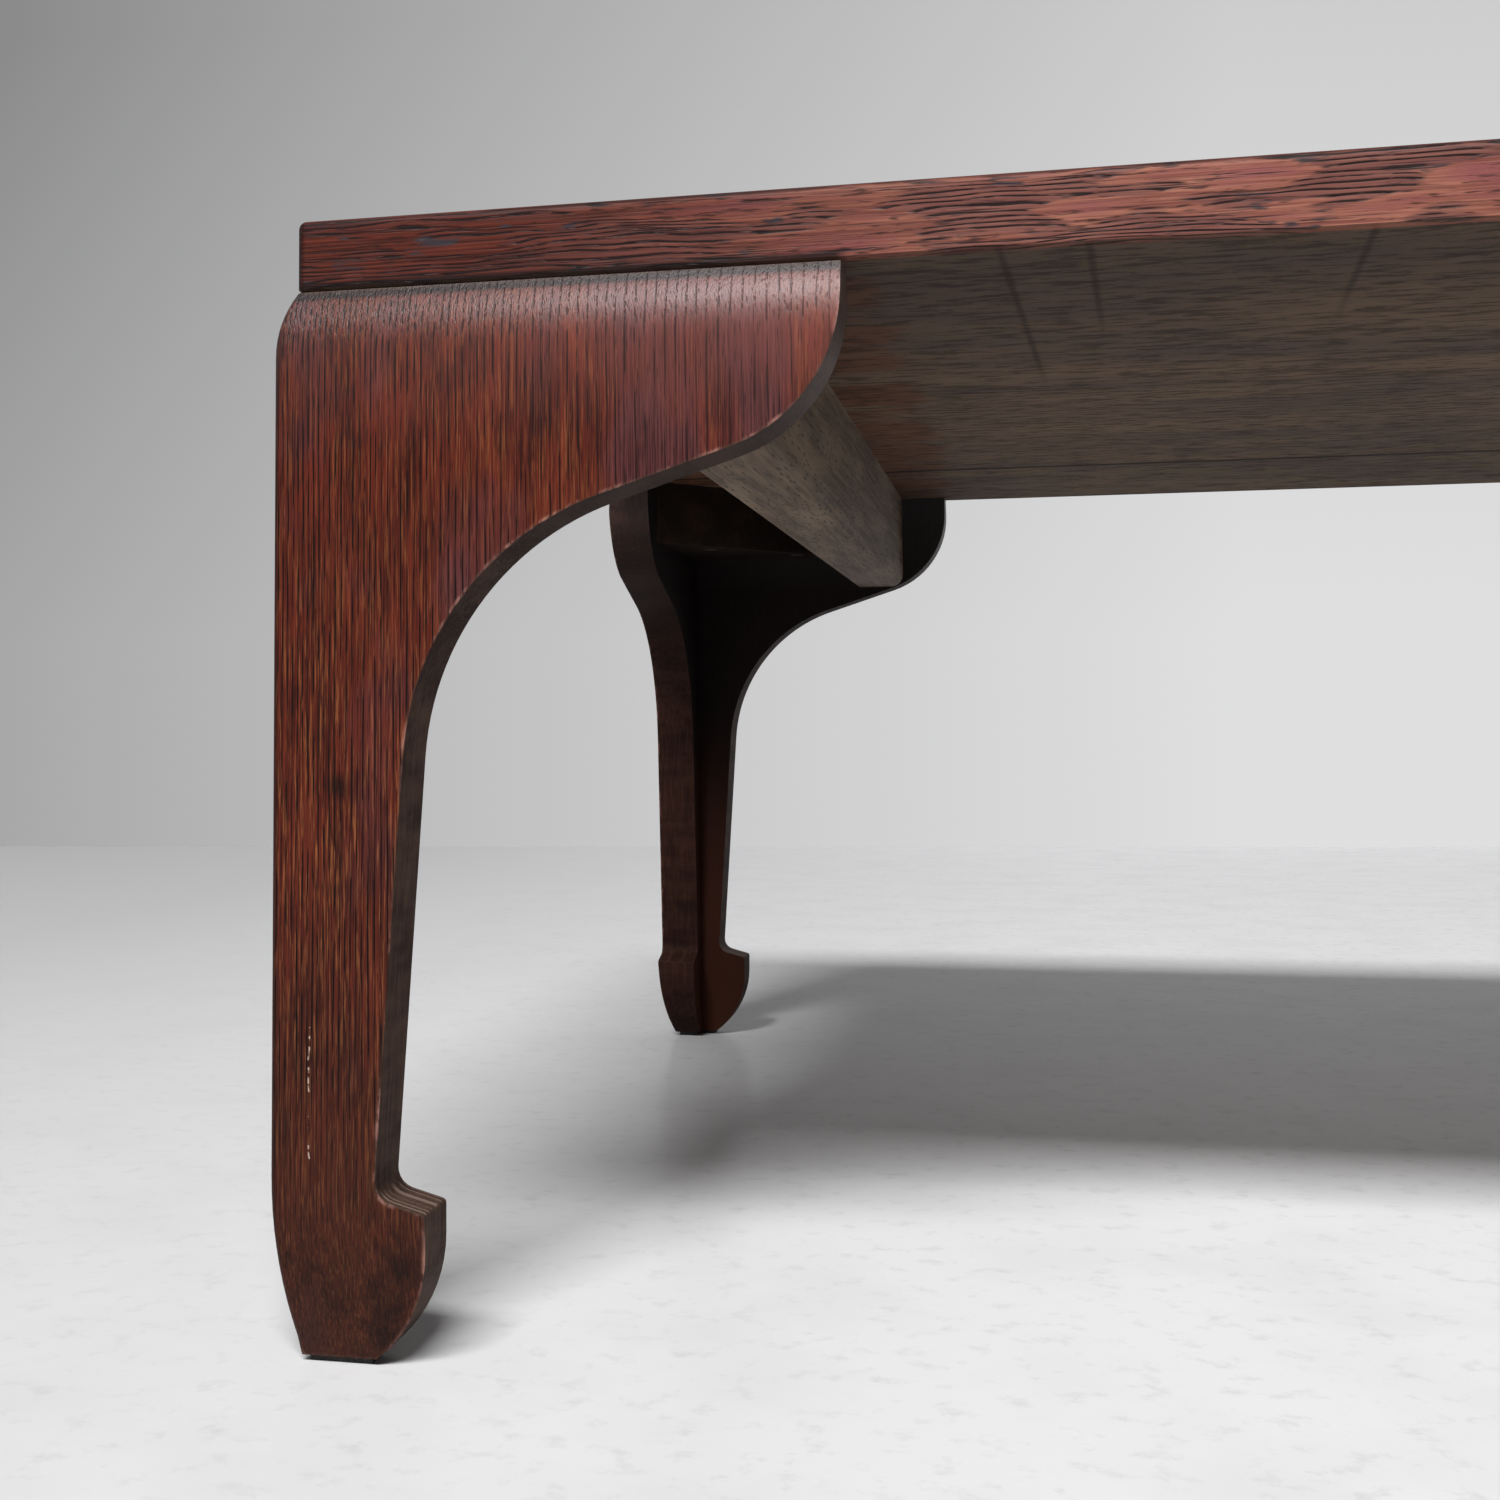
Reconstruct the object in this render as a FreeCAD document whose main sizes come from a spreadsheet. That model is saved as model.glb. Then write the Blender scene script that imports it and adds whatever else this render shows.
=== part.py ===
"""Low floor table: plank top on four mitred bracket legs with hoof feet.

Millimetres, +Z up, +X along the table, front towards -Y. The origin is on the floor under the table's middle.
The legs are drawn in a frame of their own: outer corner on the Z axis, one board along +X, one along +Y.
"""
import FreeCAD, Part
import math
import os
import Sketcher

Vector = FreeCAD.Vector
UP = Vector(0, 0, 1)
NEAR = 0.01

# Driving dimensions, with what each one measures
SIZES = {
    "top_length": (909, "top along X"),
    "top_depth": (606, "top along Y"),
    "top_thickness": (22, "planks"),
    "rear_plank": (140, "width of the rear plank; the other two share the rest"),
    "top_arris": (2.5, "rounding of the top's upper edges and corners"),
    "under_arris": (1.2, "chamfer of the top's lower edges"),
    "overall_height": (333, "floor to tabletop"),
    "leg_proud": (5, "how far the leg faces stand out from the top's edges"),
    "board_thickness": (21, "leg boards"),
    "board_reach": (167, "leg board from its outer end to the bracket's tip"),
    "tip_face": (9, "straight face at the bracket's tip, below the top"),
    "tip_radius": (45, "round below the tip face"),
    "brow_angle": (18, "slope of the bracket's lower edge, degrees"),
    "knee_radius": (84, "hollow between bracket and shank"),
    "shank_angle": (4, "taper of the shank's inner edge, degrees"),
    "ankle_width": (31.8, "shank just above the hoof"),
    "heel_radius": (6, "hollow between shank and hoof"),
    "hoof_angle": (15, "fall of the hoof's ledge to its nose, degrees"),
    "hoof_width": (46.5, "hoof from the outer end to its nose"),
    "hoof_height": (42.5, "nose above the foot"),
    "hoof_round": (33, "height at which the hoof starts to round under"),
    "nose_radius": (1.5, "round at the hoof's nose"),
    "foot_width": (30, "inner end of the foot from the board's outer end"),
    "shoulder_rise": (20, "height of the rounded shoulder under the top"),
    "taper_height": (52, "height over which the outer faces draw in at the foot"),
    "taper_inset": (7.3, "how far they draw in"),
    "corner_round": (2, "rounding of the leg's outer corner"),
    "board_arris": (1, "chamfer along the curved edges of the boards"),
    "pad_thickness": (2, "pad under each foot"),
    "pad_inset": (2, "pad's edge inside the foot's edge"),
    "tongue_width": (16, "loose tongue across the joint between planks"),
    "tongue_thickness": (6, "loose tongue"),
    "tongue_stop": (40, "end of the tongue short of the top's ends"),
    "batten_inset": (112.5, "outer face of the batten from the top's end"),
    "batten_width": (25, "batten along X"),
    "batten_depth": (51, "batten below the top"),
    "batten_round": (7, "inner lower edge of the batten"),
    "dovetail_neck": (14, "dovetail at the underside"),
    "dovetail_flare": (2, "widening of the dovetail on each side"),
    "dovetail_depth": (6, "height of the dovetail"),
    "dovetail_stop": (70, "blind end of the housing behind the front edge"),
    "tenon_thickness": (12, "stub tenon along X"),
    "tenon_height": (28, "stub tenon along Z"),
    "tenon_length": (9, "stub tenon into the side board"),
    "tenon_drop": (11, "top of the tenon below the top's underside"),
    "spline_thickness": (4, "mitre spline"),
    "spline_width": (12, "mitre spline across the joint"),
    "spline_place": (11.4, "middle of the spline from each outer face"),
    "spline_foot": (70, "lower end of the spline above the floor"),
    "spline_head": (26, "upper end of the spline below the top"),
    "block_side": (90, "corner block along the side board"),
    "block_end": (120, "corner block along the end board"),
    "block_depth": (33, "corner block below the top"),
    "screw_edge": (20, "screws from the boards they stand beside"),
    "screw_side_run": (62, "side screw along the side board"),
    "screw_end_run": (70, "end screw along the end board"),
    "screw_diameter": (4, "screw shank"),
    "screw_head": (8, "screw head"),
    "screw_length": (45, "screw from its head's face to its point"),
    "screw_point": (5, "pointed end"),
    "slot_width": (1.2, "driver slot"),
    "slot_depth": (1, "driver slot"),
    "fit_gap": (0.1, "clearance on each side of a glued or sliding fit"),
    "end_gap": (0.5, "clearance at the blind ends of grooves and mortises"),
}

doc = FreeCAD.newDocument("low_table")
sheet = doc.addObject("Spreadsheet::Sheet", "sizes")
for row, (alias, (number, words)) in enumerate(SIZES.items(), start=1):
    sheet.set(f"A{row}", words)
    sheet.set(f"B{row}", str(number))
    sheet.setAlias(f"B{row}", alias)
doc.recompute()

# Lengths that several pieces share, as formulas of the sheet
UNDERSIDE = "(sizes.overall_height - sizes.top_thickness)"
HALF_LENGTH = "(sizes.top_length / 2)"
HALF_DEPTH = "(sizes.top_depth / 2)"
CORNER_X = "(sizes.top_length / 2 + sizes.leg_proud)"
CORNER_Y = "(sizes.top_depth / 2 + sizes.leg_proud)"
INNER_Y = "(sizes.top_depth / 2 + sizes.leg_proud - sizes.board_thickness)"
REAR_JOINT = "(sizes.top_depth / 2 - sizes.rear_plank)"
FRONT_JOINT = "(-sizes.rear_plank / 2)"
BATTEN_X = "(sizes.top_length / 2 - sizes.batten_inset - sizes.batten_width / 2)"
HOUSING_FRONT = "(sizes.top_depth / 2 - sizes.dovetail_stop)"
TONGUE_LEVEL = "(sizes.overall_height - sizes.top_thickness / 2)"
SPLINE_HEIGHT = f"({UNDERSIDE} - sizes.spline_head - sizes.spline_foot)"


def value(formula):
    """Number that a formula of the sheet gives."""
    return float(sheet.evalExpression(formula.replace("sizes.", "")))


def tie(thing, **formulas):
    """Binds the named properties of an object to formulas of the sheet."""
    for name, formula in formulas.items():
        thing.setExpression(name, formula)


def place(thing, x="0", y="0", z="0", turn=0):
    """Puts an object at a place given by formulas, turned about Z by so many degrees."""
    thing.Placement = FreeCAD.Placement(Vector(), FreeCAD.Rotation(UP, turn))
    for axis, formula in (("x", x), ("y", y), ("z", z)):
        thing.setExpression(f".Placement.Base.{axis}", formula)


def new_body(name):
    """Empty solid with its own label."""
    body = doc.addObject("PartDesign::Body", name)
    body.Label = name
    return body


class Outline:
    """Closed run of straight lines and arcs in a sketch on one of a body's own planes."""

    def __init__(self, body, role, level="0"):
        planes = [plane for plane in body.Origin.OriginFeatures if plane.Role == role]
        self.sketch = body.newObject("Sketcher::SketchObject", f"{body.Name}_sketch")
        self.sketch.AttachmentSupport = [(planes[0], "")]
        self.sketch.MapMode = "FlatFace"
        self.sketch.setExpression(".AttachmentOffset.Base.z", level)
        self.first = 0
        self.runs = []

    def line(self, start, end):
        """Adds a straight run."""
        number = self.sketch.addGeometry(Part.LineSegment(Vector(*start), Vector(*end)), False)
        self.runs.append((number, 1, 2))
        return number

    def arc(self, start, end, centre):
        """Adds the shorter arc from start to end about a centre."""
        begin, finish = (math.atan2(point[1] - centre[1], point[0] - centre[0]) for point in (start, end))
        circle = Part.Circle(Vector(*centre), UP, math.dist(start, centre))
        forward = (finish - begin) % math.tau < math.pi
        angles = (begin, finish) if forward else (finish, begin)
        number = self.sketch.addGeometry(Part.ArcOfCircle(circle, *angles), False)
        self.runs.append((number, 1, 2) if forward else (number, 2, 1))
        return number

    def close(self, smooth=()):
        """Joins the runs end to end, and starts a new outline; smooth lists the runs that leave tangent."""
        added = self.runs[self.first:]
        for (here, _, tail), (there, head, _) in zip(added, added[1:] + added[:1]):
            kind = "Tangent" if here in smooth else "Coincident"
            self.sketch.addConstraint(Sketcher.Constraint(kind, here, tail, there, head))
        self.first = len(self.runs)

    def hold(self, kind, *runs):
        """Keeps lines horizontal or vertical."""
        for run in runs:
            self.sketch.addConstraint(Sketcher.Constraint(kind, run))

    def size(self, kind, *where, formula):
        """Adds a dimension that follows the sheet."""
        number = value(formula)
        angle = kind == "Angle"
        given = math.radians(number) if angle else number
        index = self.sketch.addConstraint(Sketcher.Constraint(kind, *where, given))
        self.sketch.setExpression(f"Constraints[{index}]", f"({formula}) * 1 deg" if angle else formula)

    def point(self, run, end, x, y):
        """Fixes the end of a run by its distances from the sketch's origin."""
        self.size("DistanceX", -1, 1, run, end, formula=x)
        self.size("DistanceY", -1, 1, run, end, formula=y)

    def polygon(self, *corners):
        """Draws a closed polygon through corners given as pairs of formulas."""
        spots = [(value(x), value(y)) for x, y in corners]
        lines = [self.line(spot, after) for spot, after in zip(spots, spots[1:] + spots[:1])]
        self.close()
        for run, (x, y) in zip(lines, corners):
            self.point(run, 1, x, y)

    def box(self, left, low, right, high):
        """Draws a rectangle between two corners."""
        self.polygon((left, low), (right, low), (right, high), (left, high))

    def circle(self, x, y, diameter):
        """Draws a circle about a point."""
        middle = Vector(value(x), value(y))
        run = self.sketch.addGeometry(Part.Circle(middle, UP, value(diameter) / 2), False)
        self.point(run, 3, x, y)
        self.size("Diameter", run, formula=diameter)


def feature(body, kind, outline, length="0", back=None, both=False, reverse=False):
    """Pads or pockets an outline: one way, both ways alike, or with a second length the other way."""
    result = body.newObject(f"PartDesign::{kind}", f"{body.Name}_{kind.lower()}")
    result.Profile = outline.sketch
    result.Reversed = reverse
    tie(result, Length=length)
    if both:
        result.SideType = "Symmetric"
    if back:
        result.SideType = "Two sides"
        tie(result, Length2=back)
    before = result.BaseFeature.Shape.Volume if result.BaseFeature else 0
    doc.recompute()
    changed = result.Shape.Volume - before
    assert (changed > 0) if kind == "Pad" else (changed < 0), f"{result.Name} changes nothing"
    return result


def ease(body, test, rounding=None, chamfer=None):
    """Rounds or chamfers the edges of a body's last shape that pass a test on their points."""
    doc.recompute()
    base = body.Tip
    names = [f"Edge{number}" for number, edge in enumerate(base.Shape.Edges, start=1)
             if not edge.Degenerated and test(edge.discretize(3))]
    kind = "Fillet" if rounding else "Chamfer"
    eased = body.newObject(f"PartDesign::{kind}", f"{body.Name}_{kind.lower()}")
    eased.Base = (base, names)
    if rounding:
        tie(eased, Radius=rounding)
    else:
        tie(eased, Size=chamfer)
    doc.recompute()
    return eased


# Legs

def board_outline(body, role):
    """Draws a leg board's face: hoof, shank, knee, bracket, tip. The first coordinate is the width."""
    foot = value("sizes.pad_thickness")
    under = value(UNDERSIDE)
    reach = value("sizes.board_reach")
    nose = value("sizes.hoof_width")
    nose_level = foot + value("sizes.hoof_height")
    ankle = value("sizes.ankle_width")
    brow, shank, ledge = (math.radians(value(f"sizes.{name}_angle")) for name in ("brow", "shank", "hoof"))
    tip, knee, heel, tiny = (value(f"sizes.{name}_radius") for name in ("tip", "knee", "heel", "nose"))

    def along(start, angle, length):
        return (start[0] + length * math.cos(angle), start[1] + length * math.sin(angle))

    # Hoof, from the foot's inner end up to the ledge
    round_start = (nose, foot + value("sizes.hoof_round"))
    foot_end = (value("sizes.foot_width"), foot)
    drop = round_start[1] - foot
    hoof_radius = (drop ** 2 + (nose - foot_end[0]) ** 2) / (2 * (nose - foot_end[0]))
    hoof_centre = (nose - hoof_radius, round_start[1])
    nose_centre = (nose - tiny, nose_level - tiny * math.tan(math.pi / 4 - ledge / 2))
    nose_start = (nose, nose_centre[1])
    nose_end = along(nose_centre, math.pi / 2 - ledge, tiny)
    # Heel: tangent to the ledge and to the shank
    heel_offset = (ankle + heel * math.cos(shank) - nose_end[0]) / -math.cos(ledge)
    ledge_level = nose_end[1] + heel_offset * math.sin(ledge)
    heel_centre = (ankle + heel * math.cos(shank), ledge_level + heel / math.cos(ledge))
    heel_start = along(heel_centre, -math.pi / 2 - ledge, heel)
    heel_end = along(heel_centre, math.pi - shank, heel)
    # Bracket, from the tip back to the knee
    tip_start = (reach, under - value("sizes.tip_face"))
    tip_centre = (reach - tip, tip_start[1])
    tip_end = along(tip_centre, brow - math.pi / 2, tip)
    shank_way = (math.sin(shank), math.cos(shank))
    brow_way = (math.cos(brow), math.sin(brow))
    across = shank_way[0] * brow_way[1] - shank_way[1] * brow_way[0]
    gap = (tip_end[0] - heel_end[0], tip_end[1] - heel_end[1])
    shank_run = (gap[0] * brow_way[1] - gap[1] * brow_way[0]) / across
    corner = (heel_end[0] + shank_run * shank_way[0], heel_end[1] + shank_run * shank_way[1])
    trim = knee * math.tan((math.pi / 2 - brow - shank) / 2)
    knee_start = (corner[0] - trim * shank_way[0], corner[1] - trim * shank_way[1])
    knee_end = (corner[0] + trim * brow_way[0], corner[1] + trim * brow_way[1])
    knee_centre = along(knee_start, -shank, knee)

    outline = Outline(body, role)
    sole = outline.line((0, foot), foot_end)
    hoof = outline.arc(foot_end, round_start, hoof_centre)
    side = outline.line(round_start, nose_start)
    point = outline.arc(nose_start, nose_end, nose_centre)
    shelf = outline.line(nose_end, heel_start)
    hollow = outline.arc(heel_start, heel_end, heel_centre)
    leg = outline.line(heel_end, knee_start)
    bend = outline.arc(knee_start, knee_end, knee_centre)
    bracket = outline.line(knee_end, tip_end)
    swell = outline.arc(tip_end, tip_start, tip_centre)
    face = outline.line(tip_start, (reach, under))
    head = outline.line((reach, under), (0, under))
    back = outline.line((0, under), (0, foot))
    outline.close(smooth=(hoof, side, point, shelf, hollow, leg, bend, bracket, swell))
    outline.hold("Horizontal", sole, head)
    outline.hold("Vertical", side, face, back)
    outline.point(sole, 1, "0", "sizes.pad_thickness")
    outline.size("DistanceX", sole, 1, sole, 2, formula="sizes.foot_width")
    outline.size("DistanceX", -1, 1, side, 1, formula="sizes.hoof_width")
    outline.size("DistanceY", sole, 2, side, 1, formula="sizes.hoof_round")
    outline.size("DistanceY", sole, 2, side, 2, formula=(
        "sizes.hoof_height - sizes.nose_radius * tan(45 deg - sizes.hoof_angle * 0.5 deg)"))
    outline.size("Radius", point, formula="sizes.nose_radius")
    outline.size("Radius", hollow, formula="sizes.heel_radius")
    outline.size("DistanceX", -1, 1, leg, 1, formula="sizes.ankle_width")
    outline.size("Radius", bend, formula="sizes.knee_radius")
    outline.size("Radius", swell, formula="sizes.tip_radius")
    outline.size("Distance", face, formula="sizes.tip_face")
    outline.size("DistanceX", head, 2, head, 1, formula="sizes.board_reach")
    outline.size("DistanceY", -1, 1, head, 1, formula=UNDERSIDE)
    outline.size("Angle", sole, 1, bracket, 1, formula="sizes.brow_angle")
    outline.size("Angle", leg, 1, face, 1, formula="sizes.shank_angle")
    outline.size("Angle", shelf, 1, head, 1, formula="sizes.hoof_angle")
    return outline


def face_waste(body, role):
    """Draws what is shaped away from an outer face: the round of the shoulder and the draw-in at the foot."""
    outline = Outline(body, role)
    for level, rise, inset in (
        (UNDERSIDE, "sizes.shoulder_rise", "sizes.leg_proud"),
        ("sizes.pad_thickness", "(-sizes.taper_height)", "sizes.taper_inset"),
    ):
        flush = value(level)
        start = (0, flush - value(rise))
        end = (value(inset), flush)
        radius = (value(rise) ** 2 + value(inset) ** 2) / (2 * value(inset))
        curve = outline.arc(start, end, (radius, start[1]))
        top = outline.line(end, (0, flush))
        back = outline.line((0, flush), start)
        outline.close(smooth=(back,))
        outline.hold("Horizontal", top)
        outline.hold("Vertical", back)
        outline.point(top, 2, "0", level)
        outline.size("DistanceX", -1, 1, top, 1, formula=inset)
        outline.size("DistanceY", -1, 1, back, 2, formula=f"{level} - {rise}")
    return outline


def leg_blank():
    """Makes the L of two boards as one shape, with eased arrises, shaped faces and the spline's groove."""
    body = new_body("leg_blank")
    thick = value("sizes.board_thickness")
    under = value(UNDERSIDE)
    foot = value("sizes.pad_thickness")
    feature(body, "Pad", board_outline(body, "XZ_Plane"), "sizes.board_thickness", reverse=True)
    feature(body, "Pad", board_outline(body, "YZ_Plane"), "sizes.board_thickness")

    def on_corner(points):
        return all(abs(spot.x - spot.y) < NEAR and spot.x < thick - NEAR for spot in points)

    def on_arris(points):
        ends = [points[0].z, points[-1].z]
        inner = foot + NEAR < points[1].z < under - NEAR
        level = abs(ends[0] - ends[1]) < NEAR
        clear = all(max(spot.x, spot.y) > thick + NEAR for spot in points)
        across = any(abs(points[0][axis] - points[-1][axis]) > thick / 2 for axis in (0, 1))
        return inner and clear and not (level and across)

    ease(body, on_arris, chamfer="sizes.board_arris")
    span = "2 * sizes.board_reach"
    feature(body, "Pocket", face_waste(body, "XZ_Plane"), span, both=True)
    feature(body, "Pocket", face_waste(body, "YZ_Plane"), span, both=True)
    ease(body, on_corner, rounding="sizes.corner_round")
    groove = Outline(body, "XY_Plane", "sizes.spline_foot - sizes.end_gap")
    half_wide = "sizes.spline_width / 2 + sizes.end_gap"
    half_thick = "sizes.spline_thickness / 2 + sizes.fit_gap"
    groove.polygon(*across_mitre(half_wide, half_thick))
    feature(body, "Pocket", groove, f"{SPLINE_HEIGHT} + 2 * sizes.end_gap", reverse=True)
    return body


def across_mitre(half_wide, half_thick):
    """Corners of a section that lies square across the mitre."""
    middle = "sizes.spline_place"
    return [(f"{middle} + ({a} * ({half_wide}) + {b} * ({half_thick})) / sqrt(2)",
             f"{middle} + ({-a} * ({half_wide}) + {b} * ({half_thick})) / sqrt(2)")
            for a, b in ((-1, -1), (1, -1), (1, 1), (-1, 1))]


def half_space(name, turn):
    """Block that covers one side of the mitre plane."""
    block = doc.addObject("Part::Box", name)
    tie(block, Length="2 * sizes.board_reach", Width="2 * sizes.board_reach", Height="sizes.overall_height")
    place(block, turn=turn)
    return block


def mortise(name, swap):
    """Block that cuts the batten's mortise into the inner face of a side board."""
    block = doc.addObject("Part::Box", name)
    wide = "sizes.tenon_thickness + 2 * sizes.fit_gap"
    deep = "(sizes.tenon_length + sizes.end_gap)"
    middle = "sizes.leg_proud + sizes.batten_inset + sizes.batten_width / 2"
    run = f"{middle} - sizes.tenon_thickness / 2 - sizes.fit_gap"
    inset = f"sizes.board_thickness - {deep}"
    low = f"{UNDERSIDE} - sizes.tenon_drop - sizes.tenon_height - sizes.fit_gap"
    tie(block, Length=deep if swap else wide, Width=wide if swap else deep,
        Height="sizes.tenon_height + 2 * sizes.fit_gap")
    place(block, x=inset if swap else run, y=run if swap else inset, z=low)
    return block


def boolean(kind, name, base, tool):
    """Common or Cut of two shapes."""
    result = doc.addObject(f"Part::{kind}", name)
    result.Label = name
    result.Base = base
    result.Tool = tool
    return result


def leg_boards(leg, blank, halves, mortises):
    """Parts the blank at the mitre into a leg's two boards; the one on the long side is mortised."""
    boards = []
    for along_x, half, tool in zip((True, False), halves, mortises):
        side = along_x == leg.lengthwise
        name = f"{leg.name}_{'side' if side else 'end'}_board"
        piece = boolean("Common", f"{name}_sawn" if side else name, blank, half)
        if side:
            piece = boolean("Cut", name, piece, tool)
        leg.put(piece)
        boards.append(piece)
    return boards


def mitre_spline(leg):
    """Loose tongue hidden in the mitre of a leg."""
    body = new_body(f"{leg.name}_mitre_spline")
    outline = Outline(body, "XY_Plane", "sizes.spline_foot")
    outline.polygon(*across_mitre("sizes.spline_width / 2", "sizes.spline_thickness / 2"))
    feature(body, "Pad", outline, SPLINE_HEIGHT)
    return leg.put(body)


def corner_block(leg):
    """Three-cornered block glued inside a leg under the top, with two countersunk screw holes."""
    body = new_body(f"{leg.name}_corner_block")
    level = f"{UNDERSIDE} - sizes.block_depth"
    inner = "sizes.board_thickness"
    along_x, along_y = leg.ordered("sizes.block_side", "sizes.block_end")
    outline = Outline(body, "XY_Plane", level)
    outline.polygon((inner, inner), (f"{inner} + {along_x}", inner), (inner, f"{inner} + {along_y}"))
    feature(body, "Pad", outline, "sizes.block_depth")
    holes = Outline(body, "XY_Plane", level)
    for lengthwise, crosswise in leg.screw_runs:
        x, y = leg.ordered(lengthwise, crosswise)
        holes.circle(f"{inner} + {x}", f"{inner} + {y}", "sizes.screw_diameter + 2 * sizes.fit_gap")
    bored = feature(body, "Pocket", holes, "sizes.block_depth", reverse=True)
    low = value(level)
    rims = [f"Edge{number}" for number, edge in enumerate(bored.Shape.Edges, start=1)
            if edge.Curve.TypeId == "Part::GeomCircle" and abs(edge.BoundBox.ZMax - low) < NEAR]
    sink = body.newObject("PartDesign::Chamfer", f"{body.Name}_countersink")
    sink.Base = (bored, rims)
    tie(sink, Size="(sizes.screw_head - sizes.screw_diameter) / 2")
    return leg.put(body)


def foot_pad(leg):
    """Thin pad under a foot, an L a little smaller than the foot."""
    body = new_body(f"{leg.name}_foot_pad")
    outer = "sizes.taper_inset + sizes.pad_inset"
    toe = "sizes.foot_width - sizes.pad_inset"
    inner = "sizes.board_thickness - sizes.pad_inset"
    outline = Outline(body, "XY_Plane")
    outline.polygon((outer, outer), (toe, outer), (toe, inner), (inner, inner), (inner, toe), (outer, toe))
    feature(body, "Pad", outline, "sizes.pad_thickness")
    return leg.put(body)


class Leg:
    """Where one leg stands: its name, its quarter turn about Z and the signs of its corner."""

    # Distances of the two screws from the boards' inner faces, along the table and across it
    screw_runs = (("sizes.screw_side_run", "sizes.screw_edge"), ("sizes.screw_edge", "sizes.screw_end_run"))

    def __init__(self, name, quarter, sign_x, sign_y):
        self.name = name
        self.turn = 90 * quarter
        self.lengthwise = quarter % 2 == 0
        self.sign_x = sign_x
        self.sign_y = sign_y

    def put(self, piece):
        """Moves a piece drawn in the leg's frame to the leg's corner."""
        place(piece, f"{self.sign_x} * {CORNER_X}", f"{self.sign_y} * {CORNER_Y}", turn=self.turn)
        return piece

    def ordered(self, lengthwise, crosswise):
        """Puts a length along the table and one across it in the order of the leg's own X and Y."""
        return (lengthwise, crosswise) if self.lengthwise else (crosswise, lengthwise)

    def spot(self, lengthwise, crosswise):
        """Place in the table's frame of a point that far from the inner faces of the leg's boards."""
        return (f"{self.sign_x} * ({CORNER_X} - sizes.board_thickness - {lengthwise})",
                f"{self.sign_y} * ({CORNER_Y} - sizes.board_thickness - {crosswise})")

    def screws(self):
        """Places of the leg's two screws, beside the side board and beside the end board."""
        return [self.spot(lengthwise, crosswise) for lengthwise, crosswise in self.screw_runs]


LEGS = [
    Leg("front_left", 0, -1, -1),
    Leg("front_right", 1, 1, -1),
    Leg("rear_right", 2, 1, 1),
    Leg("rear_left", 3, -1, 1),
]


# Top

def plank(name, front, rear, legs=(), show=None, housing="sizes.top_depth"):
    """One plank of the top, from front to rear, with its share of the joints under and between the planks.

    show is the formula of the plank's outer long edge, if it has one, and housing the length of the dovetail
    housings about the table's middle.
    """
    body = new_body(name)
    outline = Outline(body, "XY_Plane", UNDERSIDE)
    outline.box(f"-{HALF_LENGTH}", front, HALF_LENGTH, rear)
    feature(body, "Pad", outline, "sizes.top_thickness")
    end, surface, under = value(HALF_LENGTH), value("sizes.overall_height"), value(UNDERSIDE)
    edge = value(show) if show else None

    def outside(points):
        at_end = all(abs(abs(spot.x) - end) < NEAR for spot in points)
        at_edge = edge is not None and all(abs(spot.y - edge) < NEAR for spot in points)
        return at_end, at_edge

    def upper(points):
        at_end, at_edge = outside(points)
        high = all(abs(spot.z - surface) < NEAR for spot in points)
        return (high and (at_end or at_edge)) or (at_end and at_edge)

    def lower(points):
        return any(outside(points)) and all(abs(spot.z - under) < NEAR for spot in points)

    ease(body, upper, rounding="sizes.top_arris")
    ease(body, lower, chamfer="sizes.under_arris")
    grooves = Outline(body, "YZ_Plane")
    half = "sizes.tongue_width / 2 + sizes.end_gap"
    rise = "sizes.tongue_thickness / 2 + sizes.fit_gap"
    for joint in (front, rear):
        if joint in (FRONT_JOINT, REAR_JOINT):
            low, high = f"{TONGUE_LEVEL} - ({rise})", f"{TONGUE_LEVEL} + {rise}"
            grooves.box(f"{joint} - ({half})", low, f"{joint} + {half}", high)
    run = "sizes.top_length - 2 * sizes.tongue_stop + 2 * sizes.end_gap"
    feature(body, "Pocket", grooves, run, both=True)
    housings = Outline(body, "XZ_Plane")
    for sign in (-1, 1):
        housings.polygon(*dovetail(f"{sign} * {BATTEN_X}", "sizes.fit_gap", "sizes.end_gap"))
    feature(body, "Pocket", housings, housing, both=True)
    if legs:
        pilots = Outline(body, "XY_Plane", UNDERSIDE)
        for leg in legs:
            for x, y in leg.screws():
                pilots.circle(x, y, "sizes.screw_diameter + 2 * sizes.fit_gap")
        depth = "sizes.screw_length - sizes.block_depth + sizes.end_gap"
        feature(body, "Pocket", pilots, depth, reverse=True)
    return body


def dovetail(middle, gap, head_gap):
    """Corners of a dovetail section that stands on the underside, widening upwards."""
    neck = f"(sizes.dovetail_neck / 2 + {gap})"
    flare = f"({neck} + sizes.dovetail_flare * (sizes.dovetail_depth + {head_gap}) / sizes.dovetail_depth)"
    roof = f"{UNDERSIDE} + sizes.dovetail_depth + {head_gap}"
    return [(f"{middle} - {neck}", UNDERSIDE), (f"{middle} + {neck}", UNDERSIDE),
            (f"{middle} + {flare}", roof), (f"{middle} - {flare}", roof)]


def joint_tongue(name, joint):
    """Loose tongue in the joint between two planks."""
    body = new_body(name)
    outline = Outline(body, "YZ_Plane")
    half, rise = "sizes.tongue_width / 2", "sizes.tongue_thickness / 2"
    low, high = f"{TONGUE_LEVEL} - {rise}", f"{TONGUE_LEVEL} + {rise}"
    outline.box(f"{joint} - {half}", low, f"{joint} + {half}", high)
    feature(body, "Pad", outline, "sizes.top_length - 2 * sizes.tongue_stop", both=True)
    return body


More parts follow.
